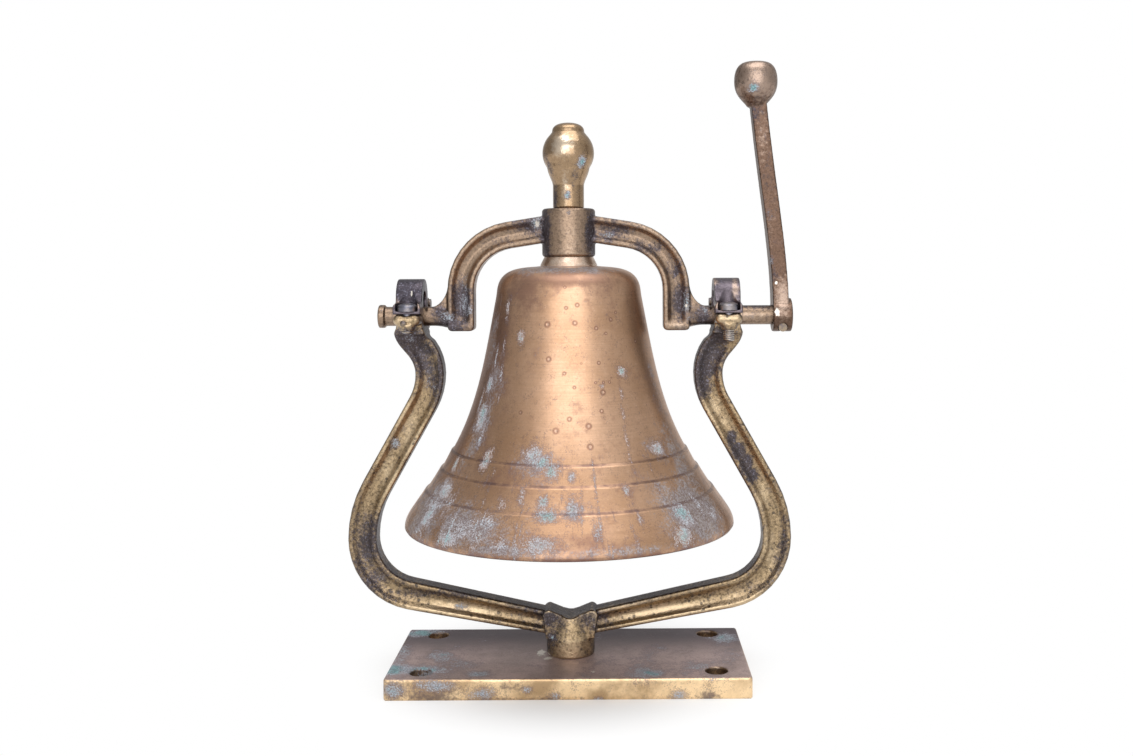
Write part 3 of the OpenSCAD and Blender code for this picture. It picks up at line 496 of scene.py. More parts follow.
# %% Turning the bell
def modified_by(piece, tree, **inputs):
    """Runs a node tree on a piece with inputs given by name, _ for a space, and keeps the mesh."""
    modifier = piece.modifiers.new(tree.name, "NODES")
    modifier.node_group = tree
    named = {item.name: item.identifier for item in tree.interface.items_tree
             if item.in_out == "INPUT"}
    for label, value in inputs.items():
        modifier[named[label.replace("_", " ")]] = value
    mesh = bake_modifiers(piece)
    dress(piece, inputs["Finish"])
    skin = bmesh.new()
    skin.from_mesh(mesh)
    for face in skin.faces:
        face.material_index = 0
    bmesh.ops.recalc_face_normals(skin, faces=skin.faces)
    skin.to_mesh(mesh)
    skin.free()
    print(f"{piece.name}: {len(mesh.polygons)} faces, {len(mesh.vertices)} points")


def turn_on_lathe(name, profile, steps, finish):
    """Runs the lathe on a profile in mm and returns a piece with its own plain mesh."""
    chain = [(r * MM, 0, z * MM) for r, z in profile]
    mesh = bpy.data.meshes.new(name)
    mesh.from_pydata(chain, [(i, i + 1) for i in range(len(chain) - 1)], [])
    piece = new_object(name, mesh)
    modified_by(piece, lathe, Steps_Around=steps, Finish=finish)
    return piece


bell_metal = bpy.data.materials.new("satin_bell_bronze")
bell_casting = turn_on_lathe("bell_casting", bell_profile, 320, bell_metal)

# %% [markdown]
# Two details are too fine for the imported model. The clamp bolts carry a thread, and the left
# bearing's lower lug has a small rivet in its front. A thread is a ridge wound round the bolt,
# so it is made as one: a spiral of the bolt's radius with a small pointed profile drawn along it.
# The pitch is that of a coarse five-sixteenths bolt. The rivet is turned and set on the lug.

# %% Threads and rivet
def thread_tree():
    """Geometry Nodes that wind a pointed ridge up round the Z axis from the origin."""
    tree, given = start_tree("bolt_thread", [
        ("Start", "Geometry"), ("Radius", "Float"), ("Pitch", "Float"), ("Length", "Float"),
        ("Finish", "Material")])
    path = made(tree, "GeometryNodeCurveSpiral", Resolution=32,
                Rotations=math_node("DIVIDE", given["Length"], given["Pitch"]),
                Start_Radius=given["Radius"], End_Radius=given["Radius"], Height=given["Length"])
    profile = made(tree, "GeometryNodeCurvePrimitiveCircle", Resolution=4,
                   Radius=times(given["Pitch"], 0.42))
    ridge = made(tree, "GeometryNodeCurveToMesh", Curve=path[0], Profile_Curve=profile[0],
                 Fill_Caps=True)
    return end_tree(tree, ridge[0], given["Finish"])


bolt_r, thread_pitch = 4.0, 1.41
bolt_thread = thread_tree()
thread_steel = bpy.data.materials.new("rubbed_thread_steel")
threads = []
for side, tail in (("left", 2.0), ("right", 8.5)):
    low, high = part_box(side + "_clamp_bolt")
    name = side + "_bolt_thread"
    piece = new_object(name, bpy.data.meshes.new(name))
    modified_by(piece, bolt_thread, Radius=bolt_r * MM, Pitch=thread_pitch * MM,
                Length=(tail - 1) * MM, Finish=thread_steel)
    middle = (low + high) / 2
    piece.data.transform(Matrix.Translation((middle.x, middle.y, low.z + 0.8 * MM)))
    threads.append(piece)

rivet_profile = [(0, -0.8), (2.5, -0.8), (2.5, 0.2), (2.1, 0.8), (1.2, 1.3), (0, 1.5)]
pin_brass = bpy.data.materials.new("sooty_pin_brass")
rivet = turn_on_lathe("lug_rivet", rivet_profile, 32, pin_brass)
low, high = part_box("left_clamp_bolt")
rivet_x, rivet_z = (low.x + high.x) / 2 - 2 * MM, 274.5 * MM
found, lug_front, _, _ = cradle_casting.ray_cast((rivet_x, -0.2, rivet_z), (0, 1, 0))
rivet.data.transform(Matrix.Translation(lug_front) @ Matrix.Rotation(math.pi / 2, 4, "X"))
print("rivet seated:", found, [round(x / MM, 1) for x in lug_front])

# %% [markdown]
# Next the marks of this one bell. Verdigris grew where water stood or ran: in blots on the
# waist, in drips over the mouldings, and thickest on the lip's left side. Soot stayed at the
# bearings and in the elbows, and cloths kept other places bright. Some soot marks are painted
# shade: on the flanks of the bell and the acorn, beside the yoke's hub and in the plate's holes.
# The bright marks on the acorn's bulb are a painted highlight.
# A random texture would scatter such marks evenly, and paint would fix them to one picture.
# So each mark is one row: where it is, how wide, how high, how strong. Round pieces are marked
# by degrees from the front and height, flat ones by the place on their front or top, in mm.
# The rows become soft fields stored with the mesh, and the materials fray their borders.

# %% Marks on the metal
def places(piece):
    """The piece's points in mm, as three lists: x, y and z."""
    return vectors_of(piece.data, "co").T / MM


def blots(rows, offset):
    """The strongest of several soft blots. offset gives the distances from a row's place."""
    field = 0.0
    for across, up, wide, high, strength in rows:
        sideways, upward = offset(across, up)
        blot = strength * np.exp(-((sideways / wide) ** 2) - (upward / high) ** 2)
        field = np.maximum(field, blot)
    return field


def marks_round(piece, base, **marks):
    """Marks at (degrees right of the front, height over base, wide, high, strength)."""
    x, y, z = places(piece)
    radius, angle = np.hypot(x, y), np.arctan2(x, -y)
    for name, rows in marks.items():
        keep(piece, name, blots(
            rows, lambda turn, up: (radius * (angle - math.radians(turn)), z - base - up)))


def marks_in_front(piece, **marks):
    """Marks at (x, z, wide, high, strength) on the side that faces the camera."""
    x, y, z = places(piece)
    front_half = np.clip(0.5 - y / 4, 0, 1)
    for name, rows in marks.items():
        keep(piece, name, blots(rows, lambda across, up: (x - across, z - up)) * front_half)


def marks_on_top(piece, lowest, **marks):
    """Marks at (x, y, wide, deep, strength) on what lies higher than lowest."""
    x, y, z = places(piece)
    for name, rows in marks.items():
        keep(piece, name, blots(rows, lambda across, back: (x - across, y - back)) * (z > lowest))


def keep(piece, name, field):
    """Stores a field with the mesh. A second field of the same name adds to the first."""
    fields = piece.data.attributes
    kept = fields.get(name) or fields.new(name, "FLOAT", "POINT")
    values = np.zeros(len(piece.data.vertices), dtype=np.float32)
    kept.data.foreach_get("value", values)
    values = np.maximum(values, np.asarray(field, dtype=np.float32))
    kept.data.foreach_set("value", values)
    print(f"{piece.name}: {name} covers {100 * (values > 0.5).mean():.1f} %")


# %% Marks of the bell
# The soot rows from 45 to 75 degrees left and right of the front paint shade on the flanks. The
# haze rows on the flanks are a grey film and also a painted sheen at the rims.
marks_round(bell_casting, mouth_z, verdigris=[
    (-50, 168, 3, 10, 0.7), (-48, 142, 2, 7, 0.6), (-46, 120, 2, 8, 0.6), (-44, 103, 2, 5, 0.6),
    (-33, 147, 4, 6, 0.8), (-57, 112, 4, 6, 0.9), (-56, 88, 6, 12, 0.9), (-40, 60, 5, 9, 0.8),
    (-62, 53, 4, 6, 0.8), (-58, 36, 9, 7, 0.8), (-58, 18, 8, 15, 0.7), (-58, 29, 22, 10, 0.4),
    (-55, 132, 1.5, 12, 0.75), (-63, 100, 2, 12, 0.75), (-50, 74, 2, 9, 0.7),
    (-34, 16, 36, 13, 0.34), (-41, 8, 9, 5, 0.9), (-27, 21, 5, 6, 0.6), (-15, 66, 7, 7, 0.9),
    (-6, 56, 6, 6, 0.9), (-10, 61, 7, 5, 0.8), (-17, 40, 3, 7, 0.7), (-8, 36, 4, 4, 0.8),
    (-6, 28, 10, 4, 0.9), (-8, 11, 14, 6, 0.8), (3, 52, 3, 4, 0.9), (3, 32, 4, 7, 0.9),
    (11, 18, 3, 8, 0.6), (12, 53, 1, 14, 0.6), (22, 112, 2, 2, 0.7), (25, 42, 3, 4, 0.8),
    (27, 24, 2, 6, 0.6), (37, 122, 4, 4, 1.1), (50, 66, 8, 5, 0.8), (46, 22, 7, 8, 0.8),
    (42, 9, 8, 7, 0.9), (57, 25, 3, 9, 0.5), (63, 16, 6, 9, 0.5), (34, 108, 1.2, 8, 0.65),
    (33, 92, 1.2, 8, 0.6), (32, 75, 1.2, 8, 0.65), (31, 60, 1.2, 8, 0.6), (-20, 10, 5, 5, 0.7),
    (-24, 34, 4, 5, 0.5), (160, 40, 12, 20, 0.6), (-150, 90, 5, 12, 0.8), (120, 130, 4, 14, 0.7),
    (-110, 25, 18, 9, 0.7), (100, 15, 20, 8, 0.6),
], haze=[
    (-62, 22, 34, 26, 1.0), (-36, 16, 44, 18, 0.9), (-20, 6, 42, 5, 0.9), (25, 5, 60, 4, 0.6),
    (54, 22, 36, 24, 1.25), (64, 50, 18, 44, 0.8), (-54, 95, 14, 50, 0.7), (-66, 150, 10, 45, 0.6),
    (-15, 60, 18, 14, 0.55), (-26, 197, 34, 4, 0.9), (21, 197, 34, 4, 0.8), (-4, 30, 26, 12, 0.4),
    (50, 66, 14, 10, 0.55), (70, 110, 8, 60, 0.5), (150, 20, 90, 14, 0.6), (-140, 30, 60, 20, 0.6),
    (180, 198, 60, 4, 0.6),
], soot=[
    (-30, 182, 19, 15, 0.5), (-24, 49, 29, 18, 0.45), (35, 180, 12, 14, 0.4),
    (66, 120, 14, 60, 0.35), (8, 12, 60, 12, 0.4), (-75, 120, 16, 80, 1.0), (-54, 128, 14, 44, 0.8),
    (-46, 90, 16, 60, 0.35), (64, 60, 14, 60, 0.1), (170, 120, 60, 60, 0.3), (0, 190, 44, 7, 0.7),
    (20, 36, 40, 16, 0.2),
])

# %% Marks of the acorn nut
acorn_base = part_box("acorn_nut")[0].z / MM
# The soot rows at 58 and 60 degrees left of the front paint shade down the left side. The shine
# rows paint a highlight on the bulb.
marks_round(acorn_casting, acorn_base, verdigris=[
    (37, 35, 3.5, 4.5, 1.5), (-2, 10, 2.5, 3, 1.4), (150, 30, 4, 3, 0.9),
], soot=[
    (-58, 8, 4, 12, 1.0), (-60, 34, 5, 12, 0.8), (24, 26, 5, 5, 0.7), (14, 18, 4, 4, 0.5),
    (37, 35, 5.5, 6.5, 0.6), (170, 10, 10, 10, 0.6),
], shine=[
    (-14, 48, 9, 9, 1.4), (-10, 18, 4, 16, 0.7),
])
keep(acorn_casting, "chalk", 0.0)

# %% Marks of the yoke
# The soot rows beside the hub and under the shoulders are soot and, in part, painted shade.
marks_in_front(yoke_casting, verdigris=[
    (-24, 351, 5, 6, 0.9), (31, 341, 5, 3, 0.6), (91, 289, 4, 11, 0.7), (-80, 292, 5, 17, 0.6),
    (-76, 285, 3, 6, 0.8), (1, 358, 2, 2, 0.7), (-92, 278, 6, 5, 0.6), (105, 283, 3, 3, 0.6),
], soot=[
    (-18, 345, 5, 16, 1.0), (18, 344, 5, 16, 1.0), (-30, 347, 14, 9, 0.8), (34, 344, 17, 8, 0.8),
    (62, 332, 17, 8, 0.5), (86, 291, 6, 18, 0.9), (82, 312, 5, 12, 0.7), (-83, 288, 7, 19, 1.1),
    (-90, 274, 14, 8, 0.9), (-100, 282, 8, 8, 0.7), (103, 278, 9, 10, 0.8), (-54, 338, 12, 5, 0.5),
    (78, 318, 4, 10, 0.5), (144, 286, 22, 3, 0.5), (-16, 330, 3, 20, 0.7), (19, 330, 3, 20, 0.7),
], shine=[
    (4, 337, 8, 19, 0.5), (1, 330, 11, 6, 0.5), (-67, 326, 16, 16, 0.4), (54, 346, 16, 5, 0.4),
    (84, 271, 9, 4, 0.6), (-68, 348, 14, 5, 0.5), (140, 278, 16, 4, 0.7),
], chalk=[
    (-24, 350, 2.5, 4, 0.85), (91, 286, 2, 4, 0.6),
])

# %% Marks of the cradle
marks_in_front(cradle_casting, soot=[
    (-124, 263, 13, 7, 1.2), (-119, 252, 13, 9, 1.2), (-111, 241, 9, 8, 0.8),
    (-105, 226, 6, 14, 0.7), (-98, 235, 4, 28, 1.0), (-158, 102, 10, 30, 0.75),
    (-150, 76, 12, 10, 0.7), (-102, 64, 46, 4, 0.5), (116, 263, 9, 7, 1.2), (108, 251, 11, 10, 1.3),
    (103, 238, 11, 11, 1.3), (104, 225, 8, 8, 1.0), (126, 184, 4, 6, 1.4), (131, 174, 5, 7, 1.6),
    (137, 164, 5, 7, 1.6), (142, 155, 4, 5, 1.4), (165, 108, 4, 16, 0.5), (160, 84, 6, 12, 0.3),
    (143, 68, 14, 4, 0.3), (-18, 49, 10, 12, 0.9), (21, 50, 12, 12, 0.9), (-14, 32, 4, 9, 0.6),
    (-40, 55, 16, 4, 0.5), (45, 57, 14, 4, 0.4), (0, 54, 12, 5, 0.5), (-8, 43, 5, 6, 0.5),
    (12, 40, 5, 5, 0.4),
], shine=[
    (112, 207, 8, 10, 1.0), (120, 196, 6, 6, 0.8), (150, 139, 6, 14, 0.9), (100, 52, 48, 6, 1.0),
    (-124, 192, 10, 28, 0.9), (-140, 158, 10, 24, 0.8), (0, 22, 15, 8, 1.2), (0, 46, 7, 8, 0.5),
    (120, 277, 14, 6, 0.9), (-128, 274, 14, 5, 0.8), (75, 48, 50, 9, 1.4), (156, 96, 7, 22, 0.8),
    (-90, 50, 44, 9, 1.2), (135, 58, 22, 8, 0.8),
], verdigris=[
    (-135, 181, 4, 4, 1.0), (-104, 224, 2, 3, 0.7), (-85, 54, 6, 3, 0.8), (-14, 31, 3, 3, 0.8),
    (-108, 234, 5, 11, 0.4), (-120, 262, 5, 5, 0.6),
], chalk=[
    (-17, 16, 2, 2, 1.0),
])

# %% Marks of the plate
top_of_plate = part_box("base_plate")[1].z / MM - 1
marks_on_top(plate_casting, top_of_plate, chalk=[
    (-23, -2, 4, 9, 0.9), (-17, -15, 5, 4, 0.9), (18, -46, 2, 3, 0.9),
], verdigris=[
    (-130, -38, 13, 16, 1.2), (-110, -40, 20, 11, 1.2), (-132, -5, 8, 28, 0.7),
    (-67, -49, 11, 7, 0.9), (61, -49, 11, 8, 1.0), (-128, 50, 20, 11, 0.9), (122, 34, 18, 13, 0.7),
    (-84, -30, 22, 12, 0.4), (90, -40, 26, 14, 0.3),
])
marks_in_front(plate_casting, verdigris=[
    (-98, 11, 16, 5, 0.9), (-128, 8, 9, 6, 0.9), (-62, 5, 12, 5, 0.8), (-30, 8, 4, 3, 0.8),
    (-10, 3, 6, 3, 0.7), (22, 1, 4, 2, 0.6), (81, 3, 7, 4, 0.9),
])
# Round each bolt hole the plate is darkened: painted shade in the holes.
hole_places = [(x, y, 10, 10, 1.3) for x in (-110, 110) for y in (-44, 44)]
marks_on_top(plate_casting, 0, soot=hole_places)
marks_in_front(plate_casting, soot=[
    (-102, 3, 19, 5, 0.9), (103, 2, 8, 4, 0.9), (-46, 10, 4, 3, 0.7), (-128, 8, 12, 9, 0.7),
    (-105, 10, 14, 5, 0.4), (-60, 1, 80, 1.5, 0.6), (-88, 7, 24, 7, 0.5), (-38, 9, 9, 4, 0.5),
    (60, 12, 30, 2, 0.4),
])

# %% Marks of the caps and the lever
marks_in_front(left_cap_casting, soot=[
    (-127, 300, 23, 16, 0.8),
], chalk=[
    (-120, 297, 0.8, 2.5, 0.9),
], shine=[
    (-133, 291, 5, 3, 0.8), (-115, 287, 4, 3, 0.8),
])
marks_in_front(right_cap_casting, soot=[
    (118, 297, 9, 9, 0.3), (115, 303, 6, 5, 0.4),
], shine=[
    (128, 300, 3, 10, 1.1), (110, 305, 6, 4, 1.0), (118, 287, 12, 3, 1.0), (108, 295, 3, 8, 0.8),
])
keep(right_cap_casting, "chalk", 0.0)
for cap in (left_cap_casting, right_cap_casting):
    keep(cap, "verdigris", 0.0)
marks_in_front(lever_casting, verdigris=[
    (142, 453, 4, 4, 1.1), (156, 320, 2, 4, 0.6),
], soot=[
    (145, 437, 8, 11, 0.5), (159, 310, 4, 6, 0.6), (154, 383, 4, 23, 0.3),
], chalk=[
    (160, 281, 2.5, 3.5, 1.0), (160, 304, 1.3, 1.3, 1.0),
], shine=[
    (165, 292, 7, 18, 1.0), (146, 462, 20, 18, 1.4), (150, 415, 6, 30, 0.5),
    (156, 350, 5, 30, 0.35),
])

# %% Pores of the bell
# Each is (degrees right of the front, height over the mouth, radius in mm).
bell_pores = [
    (-13, 157, 1.9), (6, 158, 1.6), (-11, 132, 1.7), (-1, 122, 1.2), (8, 171, 1.4), (0, 169, 1.2),
    (21, 154, 1.3), (28, 150, 1.0), (33, 160, 1.3), (38, 165, 1.0), (21, 129, 1.2), (54, 143, 1.2),
    (-1, 184, 1.0), (5, 112, 1.1), (-26, 94, 1.2), (12, 85, 1.9), (-5, 82, 1.9), (12, 71, 1.9),
    (20, 95, 1.3), (2, 90, 1.5), (18, 115, 0.9), (23, 115, 0.9), (27, 115, 0.9), (22, 108, 1.8),
]


def bell_radius(height):
    """Outer radius of the bell at a height over its mouth."""
    heights = [h for r, h in reversed(outside)]
    radii = [r for r, h in reversed(outside)]
    return np.interp(height, heights, radii)


pore_places = [
    (bell_radius(h) * math.sin(math.radians(turn)), -bell_radius(h) * math.cos(math.radians(turn)),
     h + mouth_z, radius)
    for turn, h, radius in bell_pores
]
print("pores:", len(pore_places))

# %% Inner wall of the bell
x, y, z = places(bell_casting)
depth_in_wall = bell_radius(z - mouth_z) - np.hypot(x, y)
keep(bell_casting, "inside", np.clip((depth_in_wall - 2) / 3, 0, 1))

# %% [markdown]
# The old metals share four effects, so each is made once as a node group, and a material places
# those that it needs with its own values. Sand skin is the fine relief that the mould leaves.
# Settled dirt darkens sooty places, and it also paints shade on side faces and on some marks.
# Handling wear brightens edges and some marks, which are rubbed metal and, on the acorn, a painted
# highlight. Verdigris is the pale crust.

# %% Group helpers
def new_group(name, values, *results):
    """An empty shader group: its tree and its inputs, a place and some values.

    The results Colour and Tint are colours, all others plain values.
    """
    tree = bpy.data.node_groups.new(name, "ShaderNodeTree")
    tree.interface.new_socket("Place", in_out="INPUT", socket_type="NodeSocketVector")
    for label in values:
        tree.interface.new_socket(label, in_out="INPUT", socket_type="NodeSocketFloat")
    for label in results:
        kind = "Color" if label in ("Colour", "Tint") else "Float"
        tree.interface.new_socket(label, in_out="OUTPUT", socket_type="NodeSocket" + kind)
    given = made(tree, "NodeGroupInput")
    print(f"{name}: takes {values}, gives {results}")
    return tree, given["Place"], *(given[label] for label in values)


def use_group(tree, group, **sources):
    """Places a group in a tree, sets its inputs, and returns its outputs."""
    return feed(add_node(tree, "ShaderNodeGroup", node_tree=group), **sources).outputs


def noise(place, scale, detail=3.0, roughness=0.55):
    """Cloudy noise, mostly from -0.25 to 0.25. A scale of 100 gives clouds of about 10 mm."""
    node = made(place.id_data, "ShaderNodeTexNoise", Vector=place, Scale=scale,
                Detail=detail, Roughness=roughness)
    return math_node("SUBTRACT", node["Fac"], 0.5)


def stretched(place, x, y, z):
    """The same place with each axis scaled on its own."""
    return vector_node("MULTIPLY", place, (x, y, z))["Vector"]


# %% Sand skin
sand_skin, place, coarseness = new_group("sand_skin", ["Coarseness"], "Height", "Pits")
grains = noise(place, 900, 2)
lumps = noise(place, 210, 3)
holes = made(sand_skin, "ShaderNodeTexVoronoi", Vector=place, Scale=230.0, Randomness=1.0)
pitted_parts = ramp(noise(place, 60, 2), -0.06, 0.08)
pits = times(ramp(holes["Distance"], 0.38, 0.18), pitted_parts)
relief = total(0.5, (grains, 0.8), (lumps, 1.0), (pits, -0.4))
made(sand_skin, "NodeGroupOutput", Height=times(relief, coarseness), Pits=pits)

# %% Settled dirt and painted shade
settled_dirt, place, soot = new_group("settled_dirt", ["Soot"], "Dirt", "Colour")
clouds = noise(place, 60, 3, 0.6)
specks = noise(place, 380, 4, 0.75)
settled = total(soot, (clouds, 0.9), (specks, 1.8))
# The pale specks in the dirt are dust, and they also stand in for glints of bare metal: painted
# glints.
dusty = shades(noise(place, 700, 3, 0.75), 0.02, 0.22,
               (0.036, 0.031, 0.042), (0.215, 0.21, 0.275))
made(settled_dirt, "NodeGroupOutput", Dirt=ramp(settled, 0.16, 0.8), Colour=dusty)

# %% Handling wear and painted highlights
handling_wear, place, edge, shine = new_group("handling_wear", ["Edge", "Shine"], "Rubbed")
# Edges are rubbed bright by wear. The shine marks are rubbed metal, and on the acorn's bulb a
# painted highlight.
breaks = noise(place, 330, 4, 0.75)
rubbing = total(0.0, (edge, 0.5), (shine, 0.55), (breaks, 1.0))
made(handling_wear, "NodeGroupOutput", Rubbed=ramp(rubbing, 0.15, 0.6))

# %% Verdigris
verdigris, place, amount = new_group("verdigris", ["Amount"], "Cover", "Halo", "Tint", "Height")
blotches = noise(place, 150, 4, 0.7)
powder = noise(place, 900, 3, 0.75)
wet = noise(place, 60, 3)
growth = total(amount, (blotches, 1.3), (powder, 1.8))
cover = ramp(growth, 0.34, 0.95)
halo = math_node("SUBTRACT", ramp(growth, 0.12, 0.45), cover, clamp=True)
grain = ramp(powder, -0.13, 0.13)
pale = blend_colours(grain, (0.13, 0.125, 0.145), (0.44, 0.47, 0.53))
teal = blend_colours(grain, (0.08, 0.16, 0.17), (0.27, 0.44, 0.47))
tint = shades(total(growth, (wet, 1.4)), 0.85, 1.25, pale, teal)
made(verdigris, "NodeGroupOutput", Cover=cover, Halo=halo, Tint=tint, Height=times(cover, grain))

# %% [markdown]
# The castings differ in alloy and care, not in kind: yellow brass in the cradle, redder brass in
# the yoke, a brown lever, near-black caps. One recipe takes each casting's colours and roughness.
# Dirt and painted shade go on the metal first, wear and painted highlights cut through them, and
# the crust sits on top of both.

# %% Recipe of an old casting
def begin(name):
    """A material with only a Principled shader, its output, and the place on the piece."""
    material, tree = empty_material(name)
    shader = add_node(tree, "ShaderNodeBsdfPrincipled")
    made(tree, "ShaderNodeOutputMaterial", Surface=shader.outputs[0])
    return material, tree, shader, made(tree, "ShaderNodeTexCoord")["Object"]


def stored(tree, name):
    """A field that is kept with the mesh."""
    return add_node(tree, "ShaderNodeAttribute", attribute_name=name).outputs["Fac"]


def bumped(height, depth):
    """A normal from a height that is measured in parts of a depth in mm."""
    return made(height.id_data, "ShaderNodeBump",
                Height=height, Distance=depth * MM, Strength=1.0)[0]


def layered(body, *layers):
    """Lays colours over a body in turn. Each layer is (mask, share of the mask, colour)."""
    for mask, share, colour in layers:
        body = blend_colours(times(mask, share), body, colour)
    return body


def finish_metal(shader, colour, roughness, metallic, height, depth):
    """Feeds the shader. Roughness and metallic are held between 0 and 1."""
    feed(shader, Base_Color=colour, Normal=bumped(height, depth),
         Roughness=math_node("ADD", roughness, 0.0, clamp=True),
         Metallic=math_node("ADD", metallic, 0.0, clamp=True))


def crust_on(tree, place, greening):
    """Verdigris on a casting: its marks, and parts of about 3 cm that go green by themselves."""
    patches = ramp(noise(place, 26, 2), 0.02, 0.2, 0.0, greening)
    amount = math_node("ADD", stored(tree, "verdigris"), patches)
    return use_group(tree, verdigris, Place=place, Amount=amount)


def paint_flakes(tree, place):
    """Mask of the white paint that is left where the chalk field is strong."""
    flakes = total(stored(tree, "chalk"), (noise(place, 380, 4, 0.7), 2.0))
    return ramp(flakes, 0.45, 0.65)


white_paint = (0.72, 0.67, 0.60)


def old_casting(name, metal, bright, roughness, coarseness, dirtiness, sides, greening):
    """Sand-cast metal with a worn-bright colour. Its side faces are darkened by the side amount:
    painted shade.
    """
    material, tree, shader, place = begin(name)
    skin = use_group(tree, sand_skin, Place=place, Coarseness=coarseness)
    # The darkening takes the soot marks, painted shade on the side faces, and a little less in
    # hollows, which is painted light.
    soot = total(dirtiness, (stored(tree, "soot"), 1.0), (stored(tree, "side"), sides),
                 (stored(tree, "hollow"), -0.05))
    grime = use_group(tree, settled_dirt, Place=place, Soot=soot)
    wear = use_group(tree, handling_wear, Place=place, Edge=stored(tree, "edge"),
                     Shine=stored(tree, "shine"))
    crust = crust_on(tree, place, greening)
    mottle = noise(place, 480, 5, 0.8)
    dull = [channel * (1 - 0.72 * coarseness) for channel in metal]
    # The darkened layer is soot and painted shade; the brightened layer is wear and painted
    # highlights.
    body = layered(
        shades(mottle, -0.16, 0.1, dull, metal),
        (grime["Dirt"], 0.9, grime["Colour"]),
        (wear["Rubbed"], 0.7, bright),
        (skin["Pits"], 0.75 * coarseness**2, (0.05, 0.045, 0.045)),
        (crust["Halo"], 0.45, (0.10, 0.075, 0.085)),
        (crust["Cover"], 1.0, crust["Tint"]),
        (paint_flakes(tree, place), 1.0, white_paint))
    dirty = math_node("SUBTRACT", grime["Dirt"], wear["Rubbed"], clamp=True)
    matt = total(roughness, (dirty, 0.06), (mottle, 0.3), (wear["Rubbed"], -0.06),
                 (crust["Cover"], 0.35))
    bare = total(1.0, (dirty, -0.25), (crust["Cover"], -0.95))
    finish_metal(shader, body, matt, bare,
                 total(skin["Height"], (crust["Height"], 0.7)), depth=0.26)
    return material


# Each row: castings, material, metal and worn colour, then roughness, coarseness, dirtiness,
# painted shade on the sides, and greening.
for castings, name, metal, bright, *amounts in (
    ([cradle_casting], "worn_yellow_brass",
     (0.46, 0.335, 0.20), (0.70, 0.54, 0.35), 0.38, 1.0, 0.05, 0.6, 0.25),
    ([yoke_casting], "worn_red_brass",
     (0.36, 0.255, 0.18), (0.55, 0.42, 0.32), 0.35, 0.6, 0.0, 0.35, 0.2),
    ([left_cap_casting, right_cap_casting], "sooty_cap_brass",
     (0.16, 0.135, 0.155), (0.46, 0.34, 0.27), 0.34, 0.5, 0.0, 0.3, 0.1),
    ([lever_casting], "handled_bronze",
     (0.155, 0.096, 0.068), (0.50, 0.375, 0.30), 0.36, 0.65, -0.1, 0.0, 0.15),
    # The acorn's worn colour is pale and whitish: on its bulb it paints a highlight.
    ([acorn_casting], "polished_yellow_brass",
     (0.41, 0.28, 0.17), (0.80, 0.68, 0.54), 0.25, 0.3, -0.15, 0.0, 0.1),
):
    casting_metal = old_casting(name, metal, bright, *amounts)
    for casting in castings:
        dress(casting, casting_metal)

# %% [markdown]
# The plate was never polished on top: its upper face has gone an even purple-brown, while its
# sides are still yellow. Which face is which is read from the direction that the surface faces.
# Towards the back the brown is darker still: painted shade.

# %% Plate finish
plate_metal, tree, shader, place = begin("browned_plate_brass")
facing = axes(made(tree, "ShaderNodeNewGeometry")["Normal"])
skin = use_group(tree, sand_skin, Place=place, Coarseness=0.5)
grime = use_group(tree, settled_dirt, Place=place, Soot=stored(tree, "soot"))
wear = use_group(tree, handling_wear, Place=place, Edge=stored(tree, "edge"), Shine=0.0)
crust = crust_on(tree, place, 0.35)
clouds = noise(place, 30, 5, 0.62)
mist = noise(place, 700, 3, 0.7)
# The last layer of the brown darkens the top towards the back: painted shade.
brown = layered(
    shades(clouds, -0.12, 0.12, (0.37, 0.275, 0.25), (0.52, 0.39, 0.365)),
    (ramp(mist, -0.04, -0.2), 0.5, (0.11, 0.08, 0.08)),
    (ramp(mist, 0.06, 0.2), 0.6, (0.52, 0.46, 0.45)),
    (ramp(axes(place)["Y"], -0.02, 0.045), 0.95, (0.075, 0.055, 0.065)))
yellow = shades(clouds, -0.14, 0.10, (0.50, 0.34, 0.19), (0.95, 0.70, 0.42))
yellow = layered(yellow, (grime["Dirt"], 0.8, (0.16, 0.12, 0.11)))
top = ramp(facing["Z"], 0.55, 0.9)
body = layered(
    blend_colours(top, yellow, brown),
    (wear["Rubbed"], 0.45, (0.50, 0.37, 0.24)),
    (crust["Halo"], 0.6, (0.15, 0.10, 0.11)),
    (crust["Cover"], 1.0, crust["Tint"]),
    (paint_flakes(tree, place), 1.0, white_paint))
matt = total(0.34, (top, 0.17), (clouds, 0.2), (crust["Cover"], 0.35))
bare = total(1.0, (top, -0.5), (crust["Cover"], -0.9))
finish_metal(shader, body, matt, bare,
             total(skin["Height"], (crust["Height"], 0.7)), depth=0.2)
dress(plate_casting, plate_metal)

# %% [markdown]
# The bell is satin bronze: turned, rubbed with fine abrasive round and round, and then left to
# the weather. The rubbing shows as lines round the axis, so their noise is stretched far along
# the rings and is fine in height. Drips run straight down, so they are stretched the other way.
# Small casting pores have each a dark ring, where the metal round them stayed damp.

# %% Bell finish: helpers
def nearest(place, spots):
    """Distance to the nearest of some spots (x, y, z, radius), in parts of its radius."""
    least = 9.0
    for x, y, z, radius in spots:
        gap = vector_node("DISTANCE", place, (x * MM, y * MM, z * MM))["Value"]
        least = math_node("MINIMUM", math_node("DIVIDE", gap, radius * MM), least)
    return least


def scattered_pores(place, spacing, radius):
    """Distance to the nearest of many random pores, in parts of their radius."""
    cells = made(place.id_data, "ShaderNodeTexVoronoi",
                 Vector=place, Scale=1 / (spacing * MM), Randomness=1.0)
    return times(cells["Distance"], spacing / radius)


def dark_ring(distance):
    """Mask of the damp ring round a pore, and mask of its pale middle."""
    middle = ramp(distance, 0.75, 0.35)
    return math_node("SUBTRACT", ramp(distance, 1.7, 1.0), middle, clamp=True), middle


